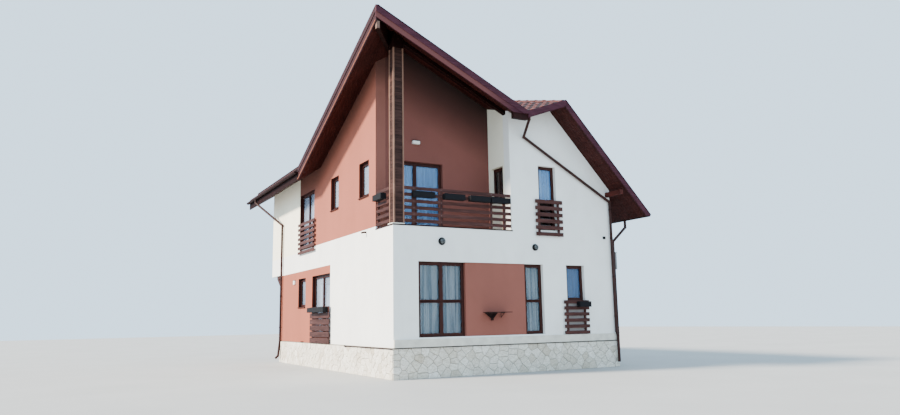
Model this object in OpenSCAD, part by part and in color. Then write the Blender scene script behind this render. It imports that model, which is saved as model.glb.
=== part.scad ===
// Detached house with a corner loggia under a gable that is turned toward the corner.
// Front face looks along -Y, left face along -X, Z is up, z = 0 is the underside of the plinth.
// The point (0, 0) is the outer corner of the front and left walls, under the loggia post.

/* [Plan] */
// Width of the front wall, outer face to outer face
body_w = 7480; // [7000:10:8000]
// Length of the ground storey
ground_l = 10550; // [10000:10:11200]
// Length by which the upper storey stands out over the back wall
overhang = 1500; // [1200:10:1900]
// Thickness of the outer walls
wall_t = 300; // [250:10:400]
// Width of the loggia, measured from the corner
loggia_w = 3740; // [3400:10:4000]
// Depth of the loggia
loggia_d = 1160; // [1000:10:1400]

/* [Levels] */
// Height of the stone plinth
plinth_h = 800; // [600:10:1000]
// Level of the ground floor
ground_z = 1000; // [900:10:1100]
// Level of the upper floor
upper_z = 4000; // [3800:10:4200]
// Thickness of the upper floor slab
slab_t = 260; // [200:10:320]
// Underside of the edge beams below the overhanging storey
beam_z = 3330; // [3200:10:3500]

/* [Roof] */
// Overhang of the roof slabs past the left wall
over = 740; // [600:10:1000]
// Overhang past the front wall
over_front = 700; // [600:10:1000]
// Overhang past the right wall
over_right = 1010; // [800:10:1200]
// Overhang past the back wall
over_back = 1000; // [800:10:1200]
// Height of the main ridge
ridge_z = 9530; // [9400:10:9700]
// Height of the corner peak above the main ridge
corner_up = 70; // [0:10:300]
// Distance of the front valley to the right of the loggia
valley_off = 200; // [50:10:350]
// Height of the foot of the front valley below the main ridge
valley_down = 2180; // [2000:10:2300]
// Distance of the small front peak from the front valley
peak_off = 1390; // [1200:10:1600]
// Distance of the left kink from the front wall
kink_y = 6040; // [5800:10:6300]
// Height of the left eave
eave_left_z = 6640; // [6500:10:6800]
// Height of the right eave
eave_right_z = 4590; // [4400:10:4800]
// Distance of the meeting point of all slopes from the front wall
meet_y = 5750; // [5400:10:6200]
// Vertical depth of the roof on the left
deep_t = 400; // [320:10:440]
// Vertical depth of the two roof slopes that meet in the front valley
loggia_t = 120; // [90:10:200]
// Vertical depth of the roof on the right
thin_t = 190; // [150:10:300]
// Vertical thickness of the boarded soffit
soffit_t = 22; // [15:1:30]

/* [Openings] */
// Level of the ground window heads
head_ground = 3040; // [2900:10:3150]
// Level of the upper window heads
head_upper = 6080; // [5950:10:6200]
// Set-back of the window frames from the wall face
setback = 110; // [80:5:160]
// Thickness of the window frames
frame_t = 70; // [60:5:90]
// Face width of the fixed frame and sash together
frame_w = 85; // [60:5:110]
// Thickness of the glass
glass_t = 24; // [20:1:40]

/* [Timberwork] */
// Width of the corner post along the front
post_w = 310; // [260:10:380]
// Depth of the corner post
post_d = 290; // [220:10:360]
// Distance of the corner post from the left wall face
post_in = 25; // [0:5:60]
// Thickness of the verge and eave boards
board_t = 30; // [20:1:40]
// Thickness of the railing slats
slat_t = 24; // [18:1:32]
// Height of the balcony railing
rail_h = 1040; // [950:10:1150]

/* [Hidden] */
eps = 1;
far = 30000;
// Gap between a piece and what carries it
seat = 0.3;
upper_l = ground_l + overhang;
post_right = post_in + post_w;
ridge_x = loggia_w;
corner_z = ridge_z + corner_up;
valley_x = loggia_w + valley_off;
valley_z = ridge_z - valley_down;
peak_x = valley_x + peak_off;
back_y = upper_l + over_back;
edge_r = body_w + over_right;
slope_r = (ridge_z - eave_right_z) / (edge_r - ridge_x);
peak_z = eave_right_z + (edge_r - peak_x) * slope_r;

// Corner points of the roof surface
pt_corner = [-over, -over_front, corner_z];
pt_valley = [valley_x, -over_front, valley_z];
pt_peak = [peak_x, -over_front, peak_z];
pt_right = [edge_r, -over_front, eave_right_z];
pt_kink = [-over, kink_y, eave_left_z];
pt_meet = [ridge_x, meet_y, ridge_z];
pt_left_back = [-over, back_y, eave_left_z];
pt_ridge_back = [ridge_x, back_y, ridge_z];
pt_right_back = [edge_r, back_y, eave_right_z];

// Each slope is the plan outline of its corners and the depth below its surface
slope_corner_left = [[pt_corner, pt_kink, pt_meet], deep_t];
slope_corner_right = [[pt_corner, pt_meet, pt_valley], loggia_t];
slope_small = [[pt_valley, pt_meet, pt_peak], loggia_t];
slope_left = [[pt_kink, pt_left_back, pt_ridge_back, pt_meet], deep_t];
slope_right = [[pt_right, pt_peak, pt_meet, pt_ridge_back, pt_right_back], thin_t];
slopes = [slope_corner_left, slope_corner_right, slope_small, slope_left, slope_right];

function plan(s) = [for (p = s[0]) [p[0], p[1]]];
function centre(s) = let (n = len(s[0])) [for (k = [0, 1]) sum([for (p = s[0]) p[k]]) / n];
function sum(v, i = 0) = i < len(v) ? v[i] + sum(v, i + 1) : 0;
// Plan drawn in a little, so that neighbouring soffit boards stay apart
function plan_inside(s) = let (c = centre(s)) [for (p = plan(s)) p + (c - p) * 0.0002];
function normal(s) = cross(s[0][1] - s[0][0], s[0][2] - s[0][0]);
// Rise of a slope per unit of x and of y
function grade(s) = let (n = normal(s)) [-n[0] / n[2], -n[1] / n[2]];
function height_at(s, x, y) =
    s[0][0][2] + grade(s)[0] * (x - s[0][0][0]) + grade(s)[1] * (y - s[0][0][1]);

// Slab between two vertical offsets from the plane of a slope
module tilted(s, low, high) {
    g = grade(s);
    steep = norm(g);
    pitch = atan(steep);
    translate(s[0][0])
        rotate([0, 0, atan2(g[1], g[0])])
            rotate([0, -pitch, 0])
                translate([-far / 2, -far / 2, low * cos(pitch)])
                    cube([far, far, (high - low) * cos(pitch)]);
}

// The part of that slab that lies over the plan outline of the slope
module layer(s, low, high, outline = undef) {
    intersection() {
        translate([0, 0, 1]) linear_extrude(12000)
            polygon(outline == undef ? plan(s) : outline);
        tilted(s, low, high);
    }
}

// All of the space below the roof slabs
module under_roof() {
    for (s = slopes) layer(s, -12000, -s[1] + soffit_t);
}

module under_soffit() {
    for (s = slopes) layer(s, -12000, -s[1]);
}

// Window openings: [start along the wall, sill, width, height, leaves, transom height above the sill]
low_sill = ground_z + 40;
french_h = head_ground - low_sill;
ground_sill = ground_z + 1020;
ground_h = head_ground - ground_sill;
door_sill = upper_z + 60;
door_h = head_upper - door_sill;
upper_sill = upper_z + 1040;
upper_h = head_upper - upper_sill;
front_ground = [[730, low_sill, 1440, french_h, 2, 915], [4140, low_sill, 650, french_h, 1, 915],
    [5640, low_sill, 680, french_h, 1, 0]];
front_upper = [[loggia_w + 1000, door_sill, 640, door_h - 80, 1, 0]];
recess_upper = [[wall_t + 100, door_sill, loggia_w - 2010, door_h - 60, 2, 0]];
return_upper = [[380, upper_sill - 90, 670, upper_h - 10, 1, 0]];
left_ground = [[4890, low_sill, 1850, french_h, 2, 0], [7490, ground_sill, 850, ground_h, 1, 0]];
left_upper = [[1660, upper_sill, 750, upper_h, 1, 0], [4170, upper_sill, 740, upper_h + 20, 1, 0],
    [6630, door_sill, 1680, door_h, 2, 0]];
right_ground = [[2200, ground_sill, 810, ground_h, 1, 0], [5600, ground_sill, 1310, ground_h, 2, 0]];
back_ground = [[1000, ground_sill, 1310, ground_h, 2, 0], [5600, ground_sill, 810, ground_h, 1, 0]];
back_upper = [[1500, upper_sill, 1310, upper_h, 2, 0], [4700, upper_sill, 810, upper_h, 1, 0]];
back_door = [3500, ground_z, 1100, 2100];

// Placing of something drawn on a wall: x runs along the wall, y into it
module at_front(y = 0) { translate([0, y, 0]) children(); }
module at_left(x = 0) { translate([x, 0, 0]) rotate([0, 0, 90]) mirror([0, 1, 0]) children(); }
module at_right() { translate([body_w, 0, 0]) rotate([0, 0, 90]) children(); }
module at_back(y) { translate([0, y, 0]) mirror([0, 1, 0]) children(); }

module openings(list) {
    for (w = list)
        translate([w[0], -eps, w[1]]) cube([w[2], wall_t + 2 * eps, w[3]]);
}

// Pane cells of a window: [x, z, width, height]
function cells(w) =
    let (n = w[4], clear = (w[2] - (n + 1) * frame_w) / n, split = w[5])
    [for (i = [0:n - 1])
        let (x = frame_w + i * (clear + frame_w))
        for (part = split > 0 ? [0, 1] : [2])
            part == 0 ? [x, frame_w, clear, split - frame_w] :
            part == 1 ? [x, split + 60, clear, w[3] - split - 60 - frame_w] :
            [x, frame_w, clear, w[3] - 2 * frame_w]];

module frames(list) {
    for (w = list)
        translate([w[0], setback, w[1]])
            difference() {
                cube([w[2], frame_t, w[3]]);
                for (c = cells(w))
                    translate([c[0], -eps, c[1]]) cube([c[2], frame_t + 2 * eps, c[3]]);
            }
}

module panes(list) {
    for (w = list)
        for (c = cells(w))
            translate([w[0] + c[0], setback + (frame_t - glass_t) / 2, w[1] + c[1]])
                cube([c[2], glass_t, c[3]]);
}

// Sill board that stands out below a window
sill_out = 40;
sill_h = 25;
module sills(list) {
    for (w = list)
        translate([w[0], -sill_out, w[1] - sill_h])
            cube([w[2], sill_out, sill_h]);
}

// Base and ground storey

module plinth() {
    color("#cfc6b2")
        translate([-30, -30, 0]) cube([body_w + 60, ground_l + 60, plinth_h]);
}

band_out = 60;
module front_ledge() {
    color("#dcd9cf")
        translate([0, -band_out, plinth_h]) cube([body_w, band_out, ground_z - plinth_h]);
}

module ground_floor() {
    color("#b9b2a6")
        translate([wall_t, wall_t, plinth_h])
            cube([body_w - 2 * wall_t, ground_l - 2 * wall_t, ground_z - plinth_h]);
}

ground_top = upper_z - slab_t;
panel_x = front_ground[0][0] + front_ground[0][2];
panel_w = front_ground[1][0] - panel_x;
// The brown coats reach back to the window frames
panel_in = setback;
panel_face = 20;
module ground_front_wall() {
    color("#efece1")
        difference() {
            translate([0, 0, plinth_h]) cube([body_w, wall_t, ground_top - plinth_h]);
            openings(front_ground);
            translate([panel_x, -eps, low_sill])
                cube([panel_w, panel_in + eps, french_h]);
        }
}

module front_panel() {
    color("#9d5c4c")
        translate([panel_x, panel_face, low_sill]) cube([panel_w, panel_in - panel_face, french_h]);
}

// The left panel is a flush coat that starts at the large window and ends at the back corner
left_panel_y = left_ground[0][0];
left_panel_top = head_ground + 260;
module left_panel_block(grow = 0) {
    translate([-grow, left_panel_y, plinth_h])
        cube([panel_in + grow, ground_l - left_panel_y + grow, left_panel_top - plinth_h]);
}

module ground_left_wall() {
    color("#efece1")
        difference() {
            translate([0, wall_t, plinth_h])
                cube([wall_t, ground_l - wall_t, ground_top - plinth_h]);
            at_left() openings(left_ground);
            left_panel_block(eps);
        }
}

module left_panel() {
    color("#a9604d")
        difference() {
            left_panel_block();
            at_left() openings(left_ground);
        }
}

module ground_right_wall() {
    color("#efece1")
        difference() {
            translate([body_w - wall_t, wall_t, plinth_h])
                cube([wall_t, ground_l - wall_t, ground_top - plinth_h]);
            at_right() openings(right_ground);
        }
}

module ground_back_wall() {
    color("#efece1")
        difference() {
            translate([wall_t, ground_l - wall_t, plinth_h])
                cube([body_w - 2 * wall_t, wall_t, ground_top - plinth_h]);
            at_back(ground_l) openings(concat(back_ground, [back_door]));
        }
}

// Upper storey

module upper_floor() {
    color("#e6e2d6") translate([0, 0, ground_top]) cube([body_w, upper_l, slab_t]);
}

module overhang_beams() {
    h = ground_top - beam_z;
    color("#efece1")
        translate([0, ground_l, beam_z])
            difference() {
                cube([body_w, upper_l - ground_l, h]);
                translate([wall_t, -eps, -eps])
                    cube([body_w - 2 * wall_t, upper_l - ground_l - wall_t + eps, h + 2 * eps]);
            }
}

module wall_block(x, y, w, l) {
    intersection() {
        translate([x, y, upper_z]) cube([w, l, ridge_z]);
        under_roof();
    }
}

module upper_front_wall() {
    color("#efece1")
        difference() {
            wall_block(loggia_w, 0, body_w - loggia_w, wall_t);
            openings(front_upper);
        }
}

module upper_return_wall() {
    color("#efece1")
        difference() {
            wall_block(loggia_w, wall_t, wall_t, loggia_d);
            at_left(loggia_w) openings(return_upper);
        }
}

module upper_recess_wall() {
    color("#8f5143")
        difference() {
            wall_block(wall_t, loggia_d, loggia_w - wall_t, wall_t);
            at_front(loggia_d) openings(recess_upper);
        }
}

brown_end = left_upper[2][0] + left_upper[2][2];
module upper_left_wall() {
    color("#a9604d")
        difference() {
            wall_block(0, loggia_d, wall_t, brown_end - loggia_d);
            at_left() openings(left_upper);
        }
}

module upper_left_rear_wall() {
    color("#efece1") wall_block(0, brown_end, wall_t, upper_l - brown_end);
}

module upper_right_wall() {
    color("#efece1") wall_block(body_w - wall_t, wall_t, wall_t, upper_l - wall_t);
}

module upper_back_wall() {
    color("#efece1")
        difference() {
            wall_block(wall_t, upper_l - wall_t, body_w - 2 * wall_t, wall_t);
            at_back(upper_l) openings(back_upper);
        }
}

// Roof

module slope(s) { layer(s, -s[1] + soffit_t, 0); }

// The right eave is cut level at the height of its edge
module level_eave() {
    difference() {
        children();
        translate([body_w, -far / 2, eave_right_z - far]) cube([far, far, far]);
    }
}

module roof_corner_left() { color("#8e4a3e") slope(slope_corner_left); }
module roof_corner_right() { color("#8e4a3e") slope(slope_corner_right); }
module roof_small() { color("#8e4a3e") slope(slope_small); }
module roof_left() { color("#8e4a3e") slope(slope_left); }
module roof_right() { color("#8e4a3e") level_eave() slope(slope_right); }

// Boarded soffit outside the upper walls, cut round the wall faces
module soffit() {
    color("#5a2f28")
        difference() {
            level_eave() for (s = slopes) layer(s, -s[1], -s[1] + soffit_t, plan_inside(s));
            translate([0, loggia_d, 0]) cube([loggia_w, upper_l - loggia_d, 12000]);
            translate([loggia_w, 0, 0]) cube([body_w - loggia_w, upper_l, 12000]);
        }
}

// Sloping board in an upright plane between two roof points, from one height offset to another
module front_board(p, q, low, high, y, t) {
    translate([0, y + t, 0]) rotate([90, 0, 0])
        linear_extrude(t)
            polygon([[p[0], p[2] + low], [q[0], q[2] + low], [q[0], q[2] + high],
                [p[0], p[2] + high]]);
}
module left_board(p, q, low, high, x, t) {
    translate([x, 0, 0]) rotate([90, 0, 90])
        linear_extrude(t)
            polygon([[p[1], p[2] + low], [q[1], q[2] + low], [q[1], q[2] + high],
                [p[1], p[2] + high]]);
}

// The front boards are less deep than the left one, and the first stops flat above the valley box
long_board_h = 300;
small_board_h = 170;
valley_cut = 60;
upper_board_h = 150;
upper_board_t = 18;
verge_rise = 30;
module left_verge_boards() {
    x = -over - board_t;
    color("#6b3530") {
        left_board(pt_corner, pt_kink, -deep_t, verge_rise, x, board_t);
        left_board(pt_corner, pt_kink, -upper_board_h, verge_rise, x - upper_board_t, upper_board_t);
    }
}

module front_verge_boards() {
    p = pt_corner - [board_t + upper_board_t, 0, 0];
    y = -over_front - board_t;
    color("#6b3530") {
        difference() {
            union() {
                front_board(p, pt_valley, -long_board_h, verge_rise, y, board_t);
                front_board(p, pt_valley, -upper_board_h, verge_rise, y - upper_board_t, upper_board_t);
            }
            translate([ridge_x - valley_x, y - upper_board_t - eps, 0])
                cube([2 * valley_x, board_t + upper_board_t + 2 * eps, valley_z - valley_cut]);
        }
        front_board(pt_valley, pt_peak, -small_board_h, verge_rise, y, board_t);
        front_board(pt_valley, pt_peak, -upper_board_h, verge_rise, y - upper_board_t, upper_board_t);
        level_eave() front_board(pt_peak, pt_right, -thin_t, verge_rise, y, board_t);
    }
}

module back_verge_boards() {
    color("#6b3530") {
        front_board(pt_left_back, pt_ridge_back, -deep_t, verge_rise, back_y, board_t);
        level_eave() front_board(pt_ridge_back, pt_right_back, -thin_t, verge_rise, back_y, board_t);
    }
}

module eave_boards() {
    color("#6b3530")
        translate([-over - board_t, kink_y, eave_left_z - deep_t])
            cube([board_t, back_y - kink_y, deep_t - 30]);
}

// Round ridge tiles, sunk to the roof surface along the three ridges
ridge_r = 130;
ridge_sink = 80;

// Unit line down a slope, seen along a ridge of direction u: [down, to the left]
function slope_line(s, u, h, left) =
    let (n = cross(s[0][1] - s[0][0], s[0][2] - s[0][0]), t = cross(n, u),
         way = sign(t * h) * left / norm(t))
    [-(t * cross(u, h)), t * h] * way;

// A round bar from p to q with the wedge of the slopes to its left and right taken away
module ridge_row(p, q, left, right) {
    d = q - p;
    u = d / norm(d);
    run = norm([d[0], d[1]]);
    h = [-d[1], d[0], 0] / run;
    reach = 3 * ridge_r;
    translate(p) rotate([0, 0, atan2(d[1], d[0])]) rotate([0, -atan(d[2] / run), 0]) rotate([0, 90, 0])
        linear_extrude(norm(d)) difference() {
            translate([ridge_sink, 0]) circle(ridge_r, $fn = 48);
            polygon([[0, 0], reach * slope_line(left, u, h, 1), [reach, reach], [reach, -reach],
                     reach * slope_line(right, u, h, -1)]);
        }
}

function toward(p, q, far_along) = p + (q - p) * (far_along / norm(q - p));

// The front rows start behind the verge boards and stop clear of each other
corner_row_end = 110;
peak_row_end = 340;
module ridge_caps() {
    color("#7a3b31") {
        ridge_row(pt_meet, pt_ridge_back, slope_left, slope_right);
        ridge_row(toward(pt_corner, pt_meet, 300), toward(pt_meet, pt_corner, corner_row_end),
                  slope_corner_left, slope_corner_right);
        ridge_row(toward(pt_peak, pt_meet, 60), toward(pt_meet, pt_peak, peak_row_end),
                  slope_small, slope_right);
    }
}

// Loggia post, ridge beam and purlin end

beam_w = 120;
beam_h = 200;
// The post stops this far below the ridge beam, under a head block
head_drop = 120;
post_top = corner_z - deep_t - beam_h - head_drop;
module corner_post() {
    color("#5f3a2c") translate([post_in, 0, upper_z]) cube([post_w, post_d, post_top - upper_z]);
}

purlin_s = 115;
purlin_h = 140;
purlin_out = 760;
// Sloping beam from the corner post to the return wall
loggia_beam_y = 150;
loggia_beam_w = 140;
loggia_beam_h = 230;
module loggia_beam() {
    rise = grade(slope_corner_right)[0];
    z = height_at(slope_corner_right, post_right, loggia_beam_y);
    run = loggia_w - post_right;
    translate([0, loggia_beam_y + loggia_beam_w, 0]) rotate([90, 0, 0])
        linear_extrude(loggia_beam_w)
            polygon([[post_right, z - loggia_beam_h], [loggia_w, z + rise * run - loggia_beam_h],
                [loggia_w, z + rise * run], [post_right, z]]);
}

module roof_beams() {
    d = pt_meet - pt_corner;
    color("#5f332b")
        intersection() {
            union() {
                difference() {
                    translate(pt_corner - [0, 0, deep_t]) rotate([0, 0, atan2(d[1], d[0])])
                        translate([0, -beam_w / 2, -beam_h])
                            cube([3200, beam_w, beam_h + deep_t - loggia_t]);
                    translate([-over, loggia_d, 0]) cube([far, far, far]);
                }
                translate([post_in, 0, post_top]) cube([post_w, post_d, ridge_z]);
                loggia_beam();
                translate([body_w - 60 - purlin_s, -purlin_out, upper_z + 1210])
                    cube([purlin_s, purlin_out, purlin_h]);
            }
            under_soffit();
        }
}

// Rain water

gutter_r = 70;
module gutter(l) {
    rotate([-90, 0, 0])
        difference() {
            cylinder(r = gutter_r, h = l, $fn = 48);
            translate([0, 0, 4]) cylinder(r = gutter_r - 4, h = l - 8, $fn = 48);
            translate([-2 * gutter_r, -2 * gutter_r, -eps])
                cube([4 * gutter_r, 2 * gutter_r, l + 2 * eps]);
        }
}

gutter_left_x = -over - board_t - gutter_r - seat;
gutter_left_z = eave_left_z - 120;
// The right gutter is a flat channel under the level eave
flat_gutter = [110, 22];
// Timber box under the foot of the front valley, cut to the soffit above it
valley_box = [490, 120];
valley_box_z = valley_z - 225;
module gutters() {
    color("#4a2f2b") {
        translate([gutter_left_x, kink_y + 20, gutter_left_z]) gutter(back_y - kink_y - 20);
        translate([edge_r - flat_gutter[0], -over_front, eave_right_z - flat_gutter[1]])
            cube([flat_gutter[0], back_y + over_front, flat_gutter[1]]);
        intersection() {
            translate([valley_x - valley_box[0], -over_front, valley_box_z])
                cube([valley_box[0], valley_box[1], 900]);
            under_soffit();
        }
    }
}

pipe_r = 42;
bend_r = pipe_r + 6;
// Round pipe through a list of points, with a slightly wider ball at each bend
module pipe(points) {
    for (i = [0:len(points) - 2]) {
        d = points[i + 1] - points[i];
        run = norm([d[0], d[1]]);
        translate(points[i])
            rotate([0, 0, atan2(d[1], d[0])]) rotate([0, atan2(run, d[2]), 0])
                cylinder(r = pipe_r, h = norm(d), $fn = 32);
        if (i > 0) translate(points[i]) sphere(r = bend_r, $fn = 32);
    }
}

pipe_off = pipe_r + 25;
pipe_foot = 150;
back_pipe_y = ground_l - 100;
module downpipes() {
    funnel_x = valley_x + 80;
    funnel_y = -over_front + pipe_r + seat;
    corner_x = body_w - 60;
    side_x = edge_r - 90;
    side_y = 340;
    side_foot_y = 10;
    outlet_y = upper_l - 350;
    color("#5b332b") {
        pipe([[gutter_left_x, outlet_y, gutter_left_z - gutter_r - seat],
            [gutter_left_x, outlet_y, gutter_left_z - 200],
            [-pipe_off, back_pipe_y, upper_z + 1280],
            [-pipe_off, back_pipe_y, plinth_h],
            [-pipe_off - 60, back_pipe_y, pipe_foot + 100],
            [-pipe_off - 160, back_pipe_y, pipe_foot]]);
        pipe([[funnel_x, funnel_y, valley_z - loggia_t - 10],
            [funnel_x, funnel_y, valley_box_z + 40],
            [funnel_x + 200, -pipe_off, valley_z - 550],
            [corner_x, -pipe_off, upper_z + 1050],
            [corner_x, -pipe_off, ground_z + 60],
            [corner_x, -band_out - pipe_off, ground_z - 60],
            [corner_x, -band_out - pipe_off, pipe_foot]]);
        pipe([[side_x, side_y, eave_right_z - flat_gutter[1] - seat],
            [side_x, side_y, eave_right_z - 240],
            [body_w + pipe_off, side_foot_y, ground_top + 80],
            [body_w + pipe_off, side_foot_y, pipe_foot]]);
    }
}

// Railings and guards

// Slatted panel w wide and h high: n boards, the lowest at height low, before studs whose
// places are shares of the width
stud_t = 45;
module slatted(w, h, n, board_h, studs, stud_w = 60, low = 0) {
    for (share = studs) translate([share * (w - stud_w), 0, 0]) cube([stud_w, stud_t, h]);
    pitch = (h - low - board_h) / (n - 1);
    for (i = [0:n - 1])
        translate([0, -slat_t, low + i * pitch]) cube([w, slat_t, board_h]);
}

rail_in = 40;
rail_boards = 6;
rail_board = 90;
rail_low = 70;
rail_post = 80;
module balcony_front_railing() {
    color("#4e2a24")
        translate([post_right, rail_in, upper_z])
            slatted(loggia_w - post_right, rail_h, rail_boards, rail_board, [0.075, 0.325, 0.813, 0.949],
                rail_post, rail_low);
}

module balcony_side_railing() {
    color("#4e2a24")
        translate([rail_in, post_d, upper_z]) rotate([0, 0, 90]) mirror([0, 1, 0])
            slatted(loggia_d - post_d, rail_h, rail_boards, rail_board, [1], rail_post, rail_low);
}

// Guards before low windows: [start, bottom, width, height, number of boards, board height]
stud_at = [0.12, 0.88];
front_guard = [front_upper[0][0] - 180, upper_z - 120, front_upper[0][2] + 350, 1080, 6, 110];
ground_guard = [front_ground[2][0] - 170, ground_z + 10, front_ground[2][2] + 250, 990, 6, 100];
left_guard = [left_upper[2][0] - 220, upper_z - 90, left_upper[2][2] + 220, 1120, 7, 100];
// The screen is nearly closed by wide boards
screen_h = french_h - 820;
screen = [left_ground[0][0] - 100, plinth_h + 5, left_ground[0][2] + 110, screen_h, 6, screen_h / 6.75];
module guard(g) {
    translate([g[0], -stud_t - seat, g[1]]) slatted(g[2], g[3], g[4], g[5], stud_at);
}

module window_guards() {
    color("#4e2a24") {
        guard(front_guard);
        guard(ground_guard);
        at_left() guard(left_guard);
    }
}

module left_screen() {
    color("#4e2a24") at_left() guard(screen);
}

// Flower troughs with soil and no plants, hung on the railings and before the left screen
trough_s = 160;
trough_rim = 12;
soil_down = 25;
trough_low = 190;
rail_trough_low = 300;
module trough(l) {
    difference() {
        cube([l, trough_s, trough_s]);
        translate([trough_rim, trough_rim, trough_s - soil_down])
            cube([l - 2 * trough_rim, trough_s - 2 * trough_rim, trough_s]);
    }
}
module flower_troughs() {
    rail_face = rail_in - slat_t - trough_s;
    guard_face = -stud_t - seat - slat_t - trough_s;
    rail_z = upper_z + rail_h - rail_trough_low;
    rail_w = loggia_w - post_right;
    color("#4a4c50") {
        for (share = [0.065, 0.341, 0.582, 0.782])
            translate([post_right + share * rail_w, rail_face, rail_z]) trough(0.188 * rail_w);
        at_left(rail_face) translate([post_d + 190, 0, rail_z]) trough(loggia_d - post_d - 290);
        at_left(guard_face) translate([screen[0] + 120, 0, screen[1] + screen[3] - trough_low + 10])
            trough(0.85 * screen[2]);
        translate([ground_guard[0] + ground_guard[2] / 2, guard_face,
            ground_guard[1] + ground_guard[3] - trough_low - 10]) trough(0.45 * ground_guard[2]);
    }
}

// Windows, door, sills and glass

module ground_windows() {
    color("#5a2c26") {
        frames(front_ground);
        at_left() frames(left_ground);
        at_right() frames(right_ground);
        at_back(ground_l) frames(back_ground);
    }
}

module upper_windows() {
    color("#5a2c26") {
        frames(front_upper);
        at_front(loggia_d) frames(recess_upper);
        at_left(loggia_w) frames(return_upper);
        at_left() frames(left_upper);
        at_back(upper_l) frames(back_upper);
    }
}

module ground_glass() {
    color("#9db6c6", 0.35) {
        panes(front_ground);
        at_left() panes(left_ground);
        at_right() panes(right_ground);
        at_back(ground_l) panes(back_ground);
    }
}

module upper_glass() {
    color("#9db6c6", 0.35) {
        panes(front_upper);
        at_front(loggia_d) panes(recess_upper);
        at_left(loggia_w) panes(return_upper);
        at_left() panes(left_upper);
        at_back(upper_l) panes(back_upper);
    }
}

module window_sills() {
    color("#5a2c26") {
        at_left() sills([left_ground[1], left_upper[0], left_upper[1]]);
        at_left(loggia_w) sills(return_upper);
        at_right() sills(right_ground);
        at_back(ground_l) sills(back_ground);
        at_back(upper_l) sills(back_upper);
    }
}

module entrance_door() {
    color("#5a2c26")
        at_back(ground_l)
            translate([back_door[0], setback, back_door[1]]) cube([back_door[2], 60, back_door[3]]);
}

// Fittings on the walls

module bulkhead(r) {
    rotate([90, 0, 0]) {
        cylinder(r = r, h = 35, $fn = 48);
        translate([0, 0, 35]) cylinder(r = r - 18, h = 30, $fn = 48);
    }
}

square_light = [210, 85, 95];
side_light = [160, 45, 130];
sensor_r = 28;
module wall_lights() {
    balcony_door = recess_upper[0];
    small_window = left_ground[1];
    color("#3b3a3a") {
        translate([front_ground[0][0] + 710, 0, ground_top - 150]) bulkhead(90);
        translate([front_upper[0][0] - 210, 0, ground_top - 210]) bulkhead(85);
        translate([balcony_door[0] + 740, loggia_d - square_light[1], balcony_door[1] + balcony_door[3] + 520])
            cube(square_light);
        translate([body_w - 310, 0, upper_z - 80]) rotate([90, 0, 0])
            cylinder(r = sensor_r, h = 40, $fn = 32);
        at_left() translate([small_window[0] + small_window[2] + 380, -side_light[1], small_window[1] + 855])
            cube(side_light);
    }
}

// Shelf board on two brackets before the brown front panel
shelf_t = 30;
shelf_w = 760;
shelf_out = 320;
bracket_t = 30;
module wall_shelf() {
    z = ground_z + 650;
    color("#3c2a26")
        translate([panel_x + 530, 0, z]) {
            translate([0, -shelf_out, 0]) cube([shelf_w, shelf_out + panel_face, shelf_t]);
            for (share = [0.22, 0.77])
                translate([share * shelf_w - bracket_t / 2, panel_face, 0]) rotate([90, 180, 90])
                    linear_extrude(bracket_t)
                        polygon([[0, 0], [0.9 * shelf_out, 0], [0.8 * shelf_out, 40],
                            [40, 0.75 * shelf_out], [0, 0.85 * shelf_out]]);
        }
}

box_size = [230, 420, 520];
module meter_box() {
    color("#a9aaa8") translate([body_w, 60, head_ground - 80]) cube(box_size);
}

// Timber braces under the overhanging storey
brace_t = 120;
brace_out = 950;
brace_down = 720;
brace_s = 110;
module overhang_braces() {
    color("#5f332b")
        for (x = [60, body_w - 60 - brace_t])
            translate([x + brace_t, ground_l, beam_z]) rotate([90, 0, -90])
                linear_extrude(brace_t)
                    difference() {
                        polygon([[0, 0], [-brace_out, 0], [-brace_out, -brace_s],
                            [-brace_s, -brace_down], [0, -brace_down]]);
                        polygon([[-brace_s, -brace_s], [250 - brace_out, -brace_s],
                            [-brace_s, 180 - brace_down]]);
                    }
}

// Rail that holds snow back above the left eave
module snow_guard() {
    guard_l = back_y - kink_y - 700;
    bracket_w = 40;
    color("#4a2f2b")
        translate([-over + 250, kink_y + 500, height_at(slope_left, -over + 250, 0) - 3]) {
            for (i = [0:6]) translate([0, i * (guard_l - bracket_w) / 6, 0]) cube([30, bracket_w, 90]);
            translate([-6, 0, 90]) cube([42, guard_l, bracket_w]);
        }
}

// Curtains in the rooms behind the windows, on rails along the inner wall faces.
// Each is a plain block here: [start, hem, width, height] and the rail above it.
rail_s = 40;
cloth_t = 70;
cloth_gap = 30;
cloth_side = 90;
function cloth(w, floor_z) =
    let (hem = w[1] - floor_z < 500 ? floor_z + 30 : w[1] - 120)
    [w[0] - cloth_side, hem, w[2] + 2 * cloth_side, w[1] + w[3] + 60 - hem];
module cloths(list, floor_z) {
    for (w = list)
        let (c = cloth(w, floor_z))
            translate([c[0], wall_t + cloth_gap, c[1]]) cube([c[2], cloth_t, c[3]]);
}
module cloth_rails(list, floor_z) {
    for (w = list)
        let (c = cloth(w, floor_z))
            translate([c[0] - 5, wall_t, c[1] + c[3]]) cube([c[2] + 10, cloth_gap + cloth_t, rail_s]);
}
left_small = [left_upper[0], left_upper[1]];
module curtains() {
    color("#f1f1ee") {
        cloths(front_ground, ground_z);
        cloths(front_upper, upper_z);
        at_front(loggia_d) cloths(recess_upper, upper_z);
        at_left() cloths(left_small, upper_z);
    }
}
module curtain_rails() {
    color("#e2ded4") {
        cloth_rails(front_ground, ground_z);
        cloth_rails(front_upper, upper_z);
        at_front(loggia_d) cloth_rails(recess_upper, upper_z);
        at_left() cloth_rails(left_small, upper_z);
    }
}

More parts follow.
